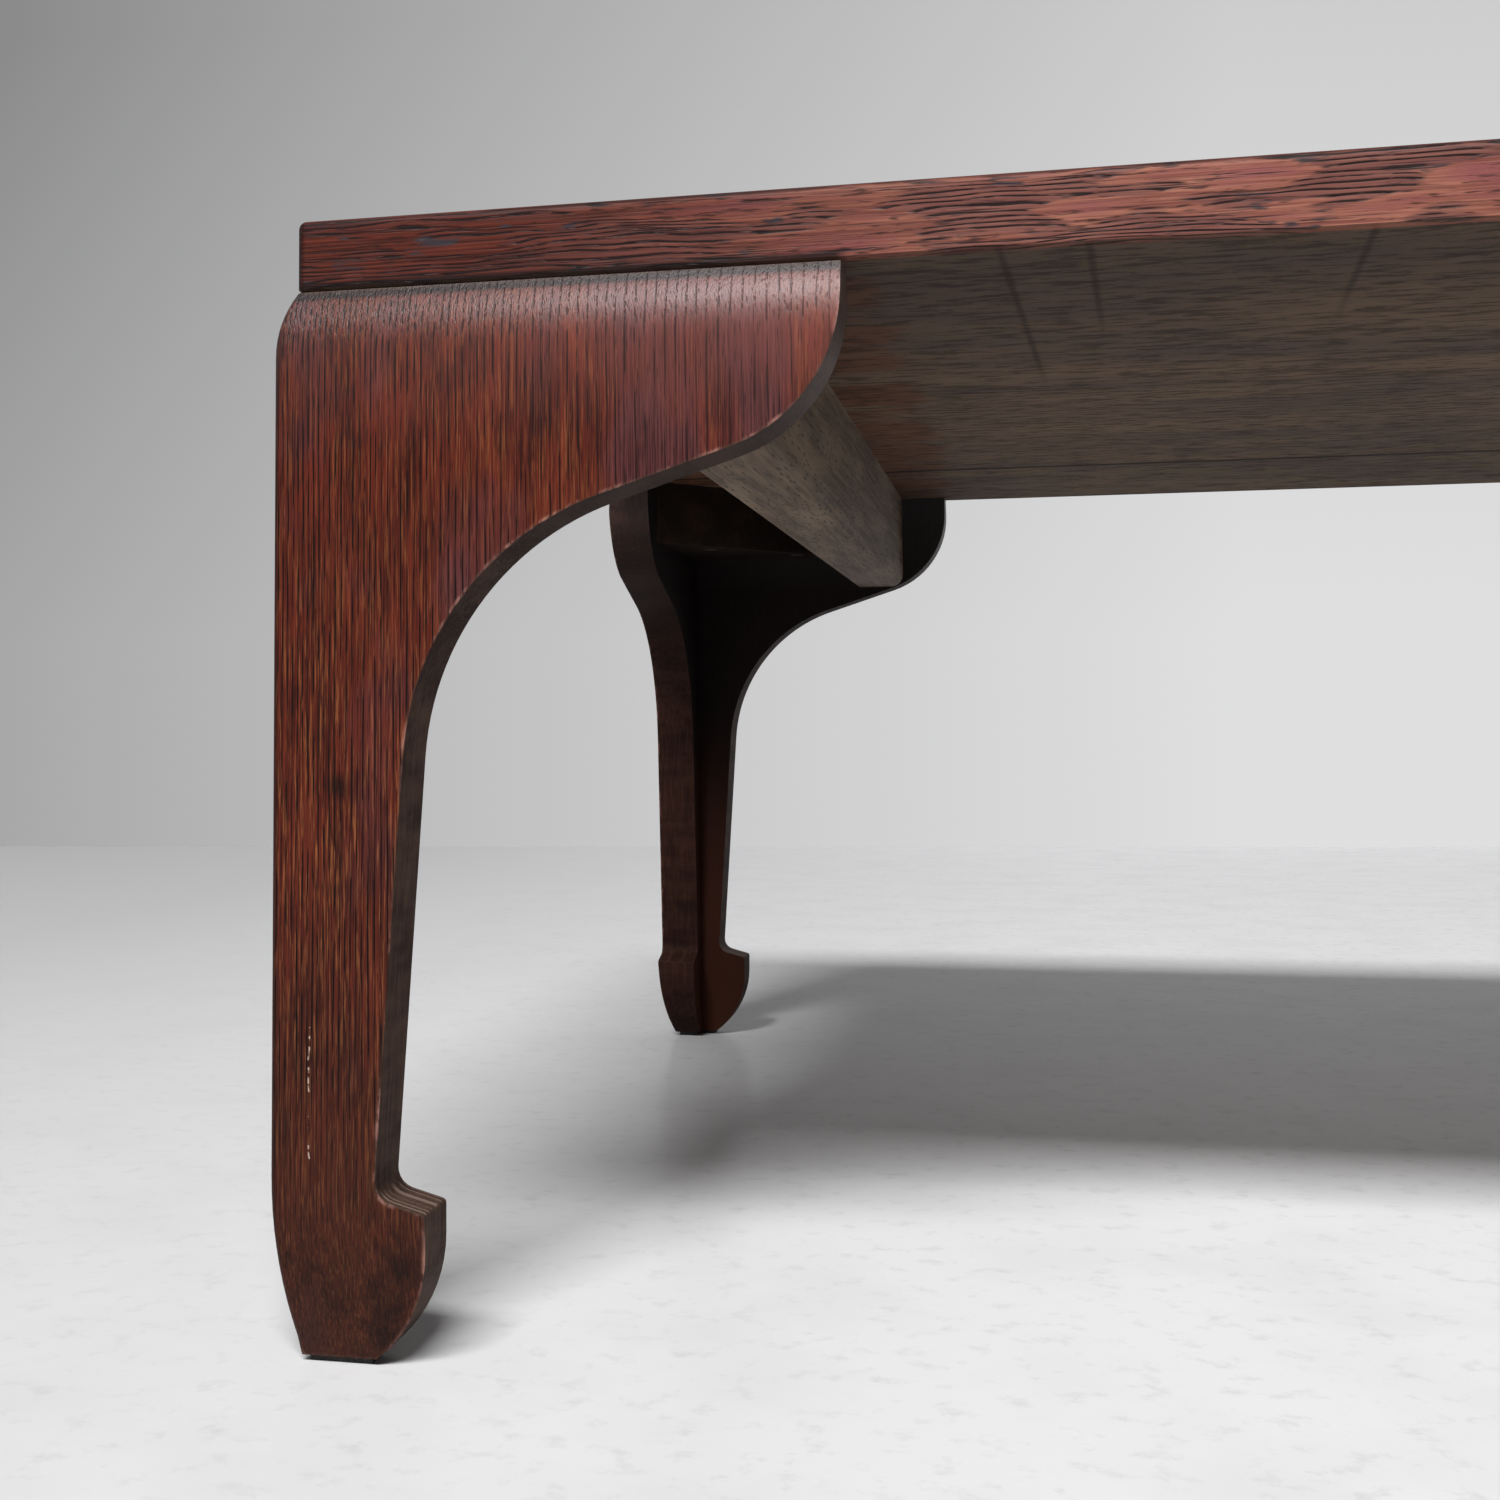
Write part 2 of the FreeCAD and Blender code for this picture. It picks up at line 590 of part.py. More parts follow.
def batten(name, sign):
    """Cross batten: bar between the side boards, dovetail along its top, stub tenons at its ends."""
    body = new_body(name)
    middle = f"({sign} * {BATTEN_X})"
    half = "sizes.batten_width / 2"
    low = f"{UNDERSIDE} - sizes.batten_depth"
    bar = Outline(body, "XZ_Plane")
    bar.box(f"{middle} - {half}", low, f"{middle} + {half}", UNDERSIDE)
    feature(body, "Pad", bar, f"2 * {INNER_Y}", both=True)
    inner_face = value(f"{middle} - {sign} * {half}")
    bottom = value(low)

    def inner_edge(points):
        return all(abs(spot.x - inner_face) < NEAR and abs(spot.z - bottom) < NEAR for spot in points)

    ease(body, inner_edge, rounding="sizes.batten_round")
    key = Outline(body, "XZ_Plane")
    key.polygon(*dovetail(middle, "0", "0"))
    feature(body, "Pad", key, f"{HOUSING_FRONT} - sizes.end_gap", back=HALF_DEPTH)
    tenon = Outline(body, "XZ_Plane")
    half = "sizes.tenon_thickness / 2"
    high = f"{UNDERSIDE} - sizes.tenon_drop"
    tenon.box(f"{middle} - {half}", f"{high} - sizes.tenon_height", f"{middle} + {half}", high)
    feature(body, "Pad", tenon, f"2 * ({INNER_Y} + sizes.tenon_length)", both=True)
    return body


def block_screws():
    """Countersunk wood screws of the corner blocks, all in one group."""
    screw = new_body("block_screw")
    head = "sizes.screw_head / 2"
    shank = "sizes.screw_diameter / 2"
    half = Outline(screw, "XZ_Plane")
    half.polygon(("0", "0"), (head, "0"), (shank, f"{head} - {shank}"),
                 (shank, "sizes.screw_length - sizes.screw_point"), ("0", "sizes.screw_length"))
    turned = screw.newObject("PartDesign::Revolution", "block_screw_turned")
    turned.Profile = half.sketch
    turned.ReferenceAxis = (half.sketch, ["V_Axis"])
    doc.recompute()
    slot = Outline(screw, "XY_Plane")
    slot.box(f"-{head}", "-sizes.slot_width / 2", head, "sizes.slot_width / 2")
    feature(screw, "Pocket", slot, "sizes.slot_depth", reverse=True)
    copies = []
    for leg in LEGS:
        for x, y in leg.screws():
            copy = doc.addObject("App::Link", "screw_copy")
            copy.LinkedObject = screw
            place(copy, x, y, f"{UNDERSIDE} - sizes.block_depth")
            copies.append(copy)
    group = doc.addObject("Part::Compound", "corner_block_screws")
    group.Label = "corner_block_screws"
    group.Links = copies
    return group


def build():
    """Makes every piece of the table and returns them."""
    blank = leg_blank()
    halves = (half_space("lengthwise_half", -45), half_space("crosswise_half", 45))
    mortises = (mortise("lengthwise_mortise", False), mortise("crosswise_mortise", True))
    pieces = []
    for leg in LEGS:
        pieces += leg_boards(leg, blank, halves, mortises)
        pieces += [mitre_spline(leg), corner_block(leg), foot_pad(leg)]
    front, rear = f"-{HALF_DEPTH}", HALF_DEPTH
    pieces += [
        plank("top_front_plank", front, FRONT_JOINT, LEGS[:2], front, f"2 * {HOUSING_FRONT}"),
        plank("top_middle_plank", FRONT_JOINT, REAR_JOINT),
        plank("top_rear_plank", REAR_JOINT, rear, LEGS[2:], rear),
        joint_tongue("front_joint_tongue", FRONT_JOINT),
        joint_tongue("rear_joint_tongue", REAR_JOINT),
        batten("left_batten", -1),
        batten("right_batten", 1),
        block_screws(),
    ]
    doc.recompute()
    return pieces


def check(pieces):
    """Stops if any object failed or any piece is not made of closed solids."""
    for thing in doc.Objects:
        assert not {"Invalid", "Error"} & set(thing.State), f"{thing.Label} failed"
    for piece in pieces:
        shape = piece.Shape
        assert not shape.isNull() and shape.isValid() and shape.Solids, f"{piece.Label} is not a sound solid"


pieces = build()
check(pieces)
os.makedirs("parts", exist_ok=True)
for piece in pieces:
    piece.Shape.exportStep(f"parts/{piece.Label}.step")
    print(f"{piece.Label}: {len(piece.Shape.Solids)} solid, {piece.Shape.Volume / 1000:.1f} cm3")
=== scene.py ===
"""Low floor table: shapes the leg boards, dresses every piece and sets up room, light and camera."""

import logging
import math
from collections.abc import Callable, Iterator
from contextlib import contextmanager
from dataclasses import dataclass
from enum import Enum

import bmesh
import bpy
from bmesh.types import BMEdge, BMVert
from bpy.types import Material, NodeSocket, Object, World, bpy_prop_collection
from mathutils import Matrix, Vector, noise


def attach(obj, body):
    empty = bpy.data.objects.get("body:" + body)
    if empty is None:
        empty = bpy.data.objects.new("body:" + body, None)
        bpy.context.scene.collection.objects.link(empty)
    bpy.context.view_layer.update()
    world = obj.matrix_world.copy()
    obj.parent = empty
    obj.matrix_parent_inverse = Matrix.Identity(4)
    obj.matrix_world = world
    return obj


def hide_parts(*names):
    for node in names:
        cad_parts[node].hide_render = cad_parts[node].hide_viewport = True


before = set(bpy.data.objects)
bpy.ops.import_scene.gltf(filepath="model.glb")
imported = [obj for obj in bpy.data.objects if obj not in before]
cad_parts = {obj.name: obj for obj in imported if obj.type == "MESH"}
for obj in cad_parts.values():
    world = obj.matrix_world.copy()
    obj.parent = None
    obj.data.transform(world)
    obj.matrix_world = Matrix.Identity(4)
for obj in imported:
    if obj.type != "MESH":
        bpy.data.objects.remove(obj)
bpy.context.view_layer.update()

PICTURE_SIZE = 1500
MM = 0.001
CLOSE = 0.001 * MM
NEAR = 0.01 * MM
WELD = 0.02 * MM
LOG = logging.getLogger("low_floor_table")


class Facing(Enum):
    """Way that a leg board's outer face looks."""

    FRONT = (0.0, -1.0, 0.0)
    RIGHT = (1.0, 0.0, 0.0)
    REAR = (0.0, 1.0, 0.0)
    LEFT = (-1.0, 0.0, 0.0)


class Part(Enum):
    """Kind of mesh part that is selected."""

    POINT = "VERT"
    EDGE = "EDGE"


class Grain(Enum):
    """Way that the wood's fibres run, as an axis number."""

    ALONG = 0
    ACROSS = 1
    UPRIGHT = 2


def linear(colour: str) -> tuple[float, float, float, float]:
    """Turns an sRGB colour into a linear one.

    Args:
        colour: six hex digits after a hash mark.

    Returns:
        Red, green, blue and a full alpha.
    """
    parts = [int(colour[place:place + 2], 16) / 255 for place in (1, 3, 5)]
    light = [part / 12.92 if part <= 0.04045 else ((part + 0.055) / 1.055) ** 2.4 for part in parts]
    return light[0], light[1], light[2], 1.0


class Nodes:
    """Node tree of one material or world.

    A Map Range is written as its value, the two values between which it changes, and what it gives at each.
    """

    def __init__(self, owner: Material | World) -> None:
        """Empties the owner's node tree.

        Args:
            owner: the material or world.
        """
        self.owner = owner
        self.owner.use_nodes = True
        self.owner.node_tree.nodes.clear()

    def add(self, kind: str, inputs: tuple | dict[str, object] = (), out: str | int | None = 0,
            **settings: str | int | bool) -> NodeSocket | bpy_prop_collection:
        """Adds a node with its settings, values and links.

        Args:
            kind: the node's type, without the start that all types share.
            inputs: a number, vector, hex colour or socket for each input, in their order or by name.
            out: the output to hand back, by name or place, or None for all of them.
            settings: the node's own options.

        Returns:
            The output socket, or all outputs.
        """
        tree = self.owner.node_tree
        node = tree.nodes.new("ShaderNode" + kind)
        for option, value in settings.items():
            setattr(node, option, value)
        for place, value in inputs.items() if isinstance(inputs, dict) else enumerate(inputs):
            if isinstance(value, NodeSocket):
                tree.links.new(value, node.inputs[place])
            else:
                node.inputs[place].default_value = linear(value) if isinstance(value, str) else value
        return node.outputs if out is None else node.outputs[out]

    def arris(self, radius: float) -> tuple[NodeSocket, NodeSocket]:
        """Finds the edges of a piece by rounding them.

        Args:
            radius: how far the rounding reaches in mm.

        Returns:
            The rounded surface's normal, and one along an edge that falls to zero beside it.
        """
        soft = self.add("Bevel", {"Radius": radius * MM}, samples=6)
        true_normal = self.add("NewGeometry", out="Normal")
        bend = self.add("VectorMath", (true_normal, soft), "Value", operation="DOT_PRODUCT")
        return soft, self.add("MapRange", (bend, 0.985, 0.86))

    def finished(self, shader: NodeSocket) -> Material:
        """Links the shader to the material's output and hands the material back."""
        self.add("OutputMaterial", {"Surface": shader}, None)
        return self.owner

    def seen_directly(self, lighting: NodeSocket, shown: NodeSocket) -> NodeSocket:
        """Parts what lights the room from what the camera and mirrors see.

        Args:
            lighting: the shader for all other rays.
            shown: the shader for camera, glossy and transmission rays.

        Returns:
            The mixed shader.
        """
        rays = self.add("LightPath", out=None)
        direct = rays["Is Camera Ray"]
        for kind in ("Is Glossy Ray", "Is Transmission Ray"):
            direct = self.add("Math", (direct, rays[kind]), operation="ADD", use_clamp=True)
        return self.add("MixShader", (direct, lighting, shown))


class WoodFigure:
    """Patterns that wood has by growing: fibres, pores and rings, laid along the grain."""

    def __init__(self, nodes: Nodes, grain: Grain,
                 pith: tuple[float, float, float] = (0.0, 0.0, 0.0)) -> None:
        """Lays the figure's own space into a material.

        Args:
            nodes: the material's node tree.
            grain: the way of the fibres.
            pith: the place in mm where the rings have their middle.
        """
        self.add = nodes.add
        self.grain = grain
        place = self.add("TexCoord", out="Object")
        self.space = self.add("Mapping", {"Vector": place, "Location": tuple(-part * MM for part in pith)})

    def stretched(self, across: float, along: float) -> NodeSocket:
        """Makes the space in which one unit is one feature.

        Args:
            across: the feature's size across the grain in mm.
            along: its size along the grain in mm.

        Returns:
            The stretched coordinates.
        """
        sizes = [across, across, across]
        sizes[self.grain.value] = along
        return self.add("Mapping", {
            "Vector": self.space, "Scale": tuple(1 / (size * MM) for size in sizes)})

    def fibres(self, across: float, along: float, detail: float = 3.0, rough: float = 0.6) -> NodeSocket:
        """Lays cloudy streaks.

        Args:
            across: a streak's width in mm.
            along: its length in mm.
            detail: how many finer layers it has.
            rough: how strong those are.

        Returns:
            A value around one half.
        """
        return self.add("TexNoise", {
            "Vector": self.stretched(across, along), "Scale": 1.0, "Detail": detail, "Roughness": rough})

    def pores(self, across: float, along: float, core: float, rim: float) -> NodeSocket:
        """Lays short dashes, the open ends of the wood's vessels.

        Args:
            across: the spacing of dashes across the grain in mm.
            along: their spacing along it in mm.
            core: the part of the spacing that is fully dark.
            rim: the part at which a dash has faded out.

        Returns:
            One on a pore, zero beside it.
        """
        cells = self.add("TexVoronoi", {
            "Vector": self.stretched(across, along), "Scale": 1.0}, "Distance")
        return self.add("MapRange", (cells, rim, core))

    def rings(self, width: float, wander: float, reach: float) -> NodeSocket:
        """Lays growth rings round the pith.

        Args:
            width: one ring's width in mm.
            wander: how far the rings stray in mm.
            reach: the size of one such stray across the grain in mm.

        Returns:
            One at the porous start of each ring, falling to zero in its dense end.
        """
        flat = [1.0, 1.0, 1.0]
        flat[self.grain.value] = 0.0
        cross = self.add("VectorMath", (self.space, tuple(flat)), operation="MULTIPLY")
        radius = self.add("VectorMath", (cross,), "Value", operation="LENGTH")
        stray = self.fibres(reach, reach * 6, 2.0)
        swing = self.add("Math", (stray, wander * MM), operation="MULTIPLY")
        path = self.add("Math", (radius, swing), operation="ADD")
        count = self.add("Math", (path, 1 / (width * MM)), operation="MULTIPLY")
        turn = self.add("Math", (count,), operation="FRACT")
        return self.add("MapRange", (turn, 0.0, 0.55, 1.0, 0.0))

    def widening_rings(self, width: NodeSocket, first: float, growth: float,
                       wander: float) -> NodeSocket:
        """Lays upright growth rings, each a little wider than the one before.

        Args:
            width: the distance from the first ring.
            first: the first ring's width in mm.
            growth: how many times wider the next ring is.
            wander: how far the rings stray in mm.

        Returns:
            The part of a ring that lies behind a place, from zero to one.
        """
        stray = self.add("Math", (self.fibres(20.0, 160.0, 2.0), wander * MM), operation="MULTIPLY")
        path = self.add("Math", (width, stray), operation="ADD")
        span = self.add("Math", (path, (growth - 1) / (first * MM), 1.0), operation="MULTIPLY_ADD")
        count = self.add("Math", (span, growth), operation="LOGARITHM")
        return self.add("Math", (count,), operation="FRACT")


@dataclass(frozen=True)
class WipedLacquerBoard:
    """Ring-porous hardwood, quarter sawn and wiped with thin red lacquer, its sawn edges left nearly bare.

    The lacquer sinks into the pores and lies thin over dense wood, so the face shows dark upright lines on
    warm red brown with a soft sheen. Sawn edges stay grey brown and dull, and rubbed arrises turn pale.
    The corner, scratch and knot are places in mm from the table's middle and the floor.
    """

    facing: Facing
    corner: float
    first_ring: float = 1.45
    ring_growth: float = 1.0132
    deep: str = "#2c0e09"
    middle: str = "#5e2417"
    warm: str = "#8e5632"
    plum_deep: str = "#2b1417"
    plum: str = "#543032"
    low: str = "#2f1a12"
    hand_thinned_and_sheen: str = "#82473f"
    pore: str = "#110706"
    cut: str = "#2d1d17"
    cut_pale: str = "#4f3b31"
    # Dark tone for smudges and for painted shade
    grime_and_shade: str = "#0b0605"
    scratch: float = -446.5
    scratch_low: float = 58.0
    scratch_high: float = 96.0
    knot: tuple[float, float] = (-439.0, 165.0)
    # Inside colours: painted shade above, painted light from the floor below
    inside: str = "#0f0604"
    inside_floor_lit: str = "#3a1d13"
    ridge: str = "#8d7a6e"
    rubbed: str = "#a4766a"
    nick: str = "#cfb6a6"

    def material(self) -> Material:
        """Builds the material.

        Returns:
            The finished material.
        """
        nodes = Nodes(bpy.data.materials.new(f"wiped_lacquer_board_{self.facing.name.lower()}"))
        add = nodes.add
        wood = WoodFigure(nodes, Grain.UPRIGHT)
        normal = add("TexCoord", out="Normal")
        soft, edge = nodes.arris(2.2)
        look, turned, depth = (
            add("VectorMath", (way, self.facing.value), "Value", operation="DOT_PRODUCT")
            for way in (normal, soft, wood.space))
        outer = add("MapRange", (look, 0.55, 0.75))
        inner = add("MapRange", (look, -0.55, -0.75))
        axes = add("SeparateXYZ", (wood.space,), None)
        across = axes["Y"] if self.facing in (Facing.LEFT, Facing.RIGHT) else axes["X"]
        middle = add("Math", (across,), operation="ABSOLUTE")
        width = add("Math", (self.corner * MM, middle), operation="SUBTRACT")
        rings = wood.widening_rings(width, self.first_ring, self.ring_growth, 3.0)
        fibres = wood.fibres(0.5, 40.0)
        flecks = wood.fibres(0.45, 13.0)
        clouds = wood.fibres(24.0, 60.0, 2.0)
        blotch = wood.fibres(9.0, 26.0)
        # Face: fibres from deep to middle red, warm flecks, plum towards the bracket, browner towards the
        # floor, and paler on the shoulder, partly as lacquer thinned by hands and partly as painted sheen
        mottle = add("Math", (blotch, 0.35, fibres), operation="MULTIPLY_ADD")
        streak = add("MapRange", (mottle, 0.54, 0.81))
        face = add("MixRGB", (streak, self.deep, self.middle))
        thinned = add("MapRange", (axes["Z"], 230 * MM, 150 * MM, 0.35, 0.7))
        thin = add("MapRange", (flecks, 0.52, 0.66, 0.0, thinned))
        reach = add("MapRange", (width, 20 * MM, 150 * MM, -0.1, 0.1))
        cooler = add("Math", (clouds, reach), operation="ADD")
        cool = add("MapRange", (cooler, 0.44, 0.64, 0.0, 0.8))
        plum = add("MixRGB", (streak, self.plum_deep, self.plum))
        foot = add("MapRange", (axes["Z"], 150 * MM, 30 * MM, 0.0, 0.7))
        # Paler on the shoulder and more so towards the bracket: partly thinned lacquer, partly painted
        # sheen
        most = add("MapRange", (width, 20 * MM, 150 * MM, 0.05, 0.36))
        hand_thinned_and_sheen = add("MapRange", (axes["Z"], 268 * MM, 296 * MM, 0.0, most))
        # Vessels lie in rows at each ring's start; a slope cuts them into short dashes
        pitch = add("Math", (width, self.ring_growth - 1, self.first_ring * MM), operation="MULTIPLY_ADD")
        behind = add("Math", (rings, pitch), operation="MULTIPLY")
        dash = add("MapRange", (wood.fibres(0.6, 13.0, 1.0), 0.42, 0.54, 0.08))
        pores = add("MapRange", (behind, 0.65 * MM, 0.35 * MM, 0.0, dash))
        filled = add("MapRange", (axes["Z"], 25 * MM, 85 * MM, 0.25))
        spare = add("MapRange", (width, 40 * MM, 160 * MM, 1.0, 0.72))
        for share in (filled, spare):
            pores = add("Math", (pores, share), operation="MULTIPLY")
        small = add("Math", (wood.pores(0.9, 9.0, 0.1, 0.32), 0.55), operation="MULTIPLY")
        pores = add("Math", (pores, small), operation="MAXIMUM")
        # Smudges round the hoof, where feet and mops touch it
        smudge = add("MapRange", (wood.fibres(16.0, 20.0, 4.0), 0.48, 0.64, 0.0, foot))
        # One scratch down a shank, broken into pale dashes, and a small knot above it
        aside = add("Math", (across, self.scratch * MM), operation="SUBTRACT")
        weave = add("Math", (wood.fibres(40.0, 7.0, 1.0), 2 * MM, aside), operation="MULTIPLY_ADD")
        aside = add("Math", (weave,), operation="ABSOLUTE")
        broken = add("MapRange", (wood.fibres(9.0, 2.2, 2.0), 0.5, 0.6, 0.0, 0.7))
        thread = add("MapRange", (aside, 0.32 * MM, 0.05 * MM, 0.0, broken))
        upper = add("Math", (axes["Z"], self.scratch_high * MM), operation="LESS_THAN")
        lower = add("Math", (axes["Z"], self.scratch_low * MM), operation="GREATER_THAN")
        for share in (upper, lower):
            thread = add("Math", (thread, share), operation="MULTIPLY")
        spot = add("CombineXYZ", (across, axes["Z"], 0.0))
        spot = add("VectorMath", (spot, Vector((*self.knot, 0.0)) * MM), "Value", operation="DISTANCE")
        knot = add("MapRange", (spot, 5.0 * MM, 1.2 * MM, 0.0, 0.8))
        # Painted shade along the outer corner and in the groove under the top
        rim = add("MapRange", (width, 2.6 * MM, 0.4 * MM, 0.0, 0.9))
        painted_groove_shade = add("MapRange", (axes["Z"], 307.4 * MM, 308.8 * MM, 0.0, 0.9))
        painted_shade_and_grime = add("Math", (rim, painted_groove_shade), operation="MAXIMUM")
        for share, tint in (
                (thin, self.warm), (cool, plum), (foot, self.low), (hand_thinned_and_sheen, self.hand_thinned_and_sheen), (pores, self.pore),
                (smudge, self.grime_and_shade), (thread, self.nick), (knot, self.pore), (painted_shade_and_grime, self.grime_and_shade)):
            face = add("MixRGB", (share, face, tint))
        # Sawn edges with the saw's marks across them and along the hoof's ledge, and the unlacquered inside
        sawing = add("Math", (wood.fibres(40.0, 9.0), wood.fibres(1.1, 30.0)), operation="ADD")
        tone = add("MapRange", (sawing, 0.82, 1.22))
        sawn = add("MixRGB", (tone, self.cut, self.cut_pale))
        level = add("SeparateXYZ", (normal,), "Z")
        ridges = add("TexNoise", {
            "W": depth, "Scale": 1 / (2.6 * MM), "Detail": 1.0}, noise_dimensions="1D")
        ledge = add("MapRange", (level, 0.5, 0.8, 0.0, 0.62))
        ridge = add("MapRange", (ridges, 0.5, 0.6, 0.0, ledge))
        sawn = add("MixRGB", (ridge, sawn, self.ridge))
        # Painted shade: sawn faces that look down are darkened
        under = add("MapRange", (level, -0.2, -0.9, 0.0, 0.55))
        sawn = add("MixRGB", (under, sawn, self.grime_and_shade))
        # Painted light and shade inside the leg: the unlacquered inside is darkened towards the top and
        # lightened towards the foot, as if lit from the floor
        painted_dimming = add("MapRange", (axes["Z"], 70 * MM, 190 * MM))
        within = add("MixRGB", (painted_dimming, self.inside_floor_lit, self.inside))
        # The lacquer stops short of the cut edges, but runs on over the mitre
        mitre = add("MapRange", (width, 8 * MM, 4 * MM))
        kept = add("Math", (turned, mitre), operation="ADD")
        outer = add("MapRange", (kept, 0.72, 0.86, 0.0, outer))
        colour = add("MixRGB", (outer, sawn, face))
        colour = add("MixRGB", (inner, colour, within))
        # Arrises rubbed through to pale wood, in patches and flakes, most of all round the hoof, but not
        # inside the leg, at the corner joint, the sole and the groove
        kicked = add("Math", (foot, 0.1, blotch), operation="MULTIPLY_ADD")
        worn = add("Math", (edge, 0.85), operation="MULTIPLY")
        for place, near, clear in (
                (kicked, 0.48, 0.62), (wood.fibres(2.2, 5.0), 0.42, 0.56), (turned, 0.0, 0.25),
                (width, 4 * MM, 9 * MM), (axes["Z"], 4 * MM, 9 * MM), (axes["Z"], 307 * MM, 304 * MM)):
            worn = add("MapRange", (place, near, clear, 0.0, worn))
        colour = add("MixRGB", (worn, colour, self.rubbed))
        # Pores are open and dull, the fibres between them stand a little proud and shine softly, most of
        # all on the shoulder, which hands have polished
        relief = add("Math", (fibres, pores), operation="SUBTRACT")
        bump = add("Bump", {"Strength": 0.4, "Distance": 0.25 * MM, "Height": relief})
        sheen = add("MapRange", (blotch, 0.3, 0.7, 0.34, 0.44))
        sheen = add("MapRange", (pores, 0.0, 1.0, sheen, 0.85))
        rough = add("MapRange", (outer, 0.0, 1.0, 0.7, sheen))
        polish = add("MapRange", (axes["Z"], 258 * MM, 305 * MM, 0.0, 0.5))
        shader = add("BsdfPrincipled", {
            "Base Color": colour, "Roughness": rough, "Normal": bump, "IOR": 1.5,
            "Specular IOR Level": 0.11, "Coat Weight": polish, "Coat Roughness": 0.38, "Coat Normal": bump})
        return nodes.finished(shader)


@dataclass(frozen=True)
class WipedLacquerPlank:
    """Ring-porous hardwood, flat sawn and wiped with thin red lacquer above and on the edges, bare below.

    Along the edges the flat rings show as smooth brown to rosy patches against rough bands of open pores,
    the bare underside has greyed, and the arrises are rubbed pale. Places are in mm: the joint has its Y,
    and a mark its X at the table's middle and the Y where it has faded out.
    """

    name: str
    pith: tuple[float, float, float]
    open_joint: float
    marks: tuple[tuple[float, float], ...] = ((-231.0, -77.0), (-207.0, -170.0), (-134.0, -180.0))
    mark_slope: float = -0.06
    mark_fade: float = 60.0
    deep: str = "#2f110b"
    middle: str = "#5a261a"
    worn_deep: str = "#713f36"
    worn_pale: str = "#9c6654"
    rosy: str = "#7f4847"
    grime_and_shade: str = "#0d0706"
    ridge: str = "#5a3a39"
    slate: str = "#2b2a30"
    pore: str = "#170b0a"
    bare: str = "#5d4e45"
    bare_dark: str = "#261d18"
    bare_pale: str = "#735f4d"
    spill: str = "#6b4530"
    rubbed: str = "#c9aa97"

    def material(self) -> Material:
        """Builds the material.

        Returns:
            The finished material.
        """
        nodes = Nodes(bpy.data.materials.new(f"wiped_lacquer_plank_{self.name}"))
        add = nodes.add
        wood = WoodFigure(nodes, Grain.ALONG, self.pith)
        looks = add("SeparateXYZ", (add("TexCoord", out="Normal"),), None)
        below = add("MapRange", (looks["Z"], -0.6, -0.85))
        above = add("MapRange", (looks["Z"], 0.6, 0.85))
        rings = wood.rings(5.5, 40.0, 70.0)
        lines = wood.rings(1.2, 9.0, 13.0)
        vessels = wood.pores(0.75, 26.0, 0.12, 0.4)
        fibres = wood.fibres(0.7, 40.0)
        clouds = wood.fibres(26.0, 130.0, 2.0)
        zones = wood.fibres(13.0, 78.0, 2.0)
        blotch = wood.fibres(5.0, 22.0)
        # Hands and sleeves have thinned the lacquer towards the middle of the table
        axes = add("SeparateXYZ", (add("TexCoord", out="Object"),), None)
        end = add("Math", (axes["X"],), operation="ABSOLUTE")
        cloudy = add("MapRange", (clouds, 0.3, 0.6, 0.5))
        handled = add("MapRange", (end, 390 * MM, 230 * MM, 0.0, cloudy))
        # Edges: smooth dense lobes, brown at their borders and rosy within, against bands whose lines bend
        # round them
        streak = add("MapRange", (fibres, 0.36, 0.66))
        dark = add("MixRGB", (streak, self.deep, self.middle))
        pale = add("MixRGB", (streak, self.worn_deep, self.worn_pale))
        flush = add("MapRange", (zones, 0.52, 0.62, 0.0, 0.9))
        pale = add("MixRGB", (flush, pale, self.rosy))
        dense = add("MixRGB", (handled, dark, pale))
        fleck = add("MapRange", (wood.fibres(0.9, 9.0, 2.0), 0.43, 0.33, 0.0, 0.75))
        dense = add("MixRGB", (fleck, dense, self.pore))
        # Painted sheen: the ridges between the lines get a lilac tint, stronger where hands have thinned
        # the lacquer
        painted_sheen = add("MapRange", (handled, 0.0, 1.0, 0.15, 0.6))
        band = add("MixRGB", (painted_sheen, dense, self.ridge))
        broken = add("MapRange", (wood.fibres(1.6, 9.0, 2.0), 0.36, 0.48, 0.3))
        line = add("MapRange", (lines, 0.25, 0.55, 0.0, broken))
        band = add("MixRGB", (line, band, self.pore))
        open_band = add("MapRange", (zones, 0.505, 0.485))
        edge_face = add("MixRGB", (open_band, dense, band))
        border = add("Math", (zones, 0.495), operation="SUBTRACT")
        border = add("Math", (border,), operation="ABSOLUTE")
        border = add("MapRange", (border, 0.04, 0.015, 0.0, 0.85))
        stain = add("MapRange", (blotch, 0.57, 0.62, 0.0, border))
        edge_face = add("MixRGB", (stain, edge_face, self.slate))
        # Painted shade round the upright corners at the ends and along the groove over the legs, and grime,
        # broken, under the upper arris
        sideways = add("Math", (looks["X"],), operation="ABSOLUTE")
        corner = add("MapRange", (sideways, 0.98, 0.85, 0.0, 0.88))
        painted_shade_and_grime = add("MapRange", (end, 451.5 * MM, 454.0 * MM, 0.0, corner))
        overhead = add("MapRange", (end, 290 * MM, 294 * MM, 0.0, 0.88))
        painted_groove_shade = add("MapRange", (axes["Z"], 314.2 * MM, 313.0 * MM, 0.0, overhead))
        patchy = add("MapRange", (blotch, 0.36, 0.5, 0.0, 0.88))
        brink = add("MapRange", (axes["Z"], 331.2 * MM, 332.4 * MM, 0.0, patchy))
        for place in (painted_groove_shade, brink):
            painted_shade_and_grime = add("Math", (painted_shade_and_grime, place), operation="MAXIMUM")
        edge_face = add("MixRGB", (painted_shade_and_grime, edge_face, self.grime_and_shade))
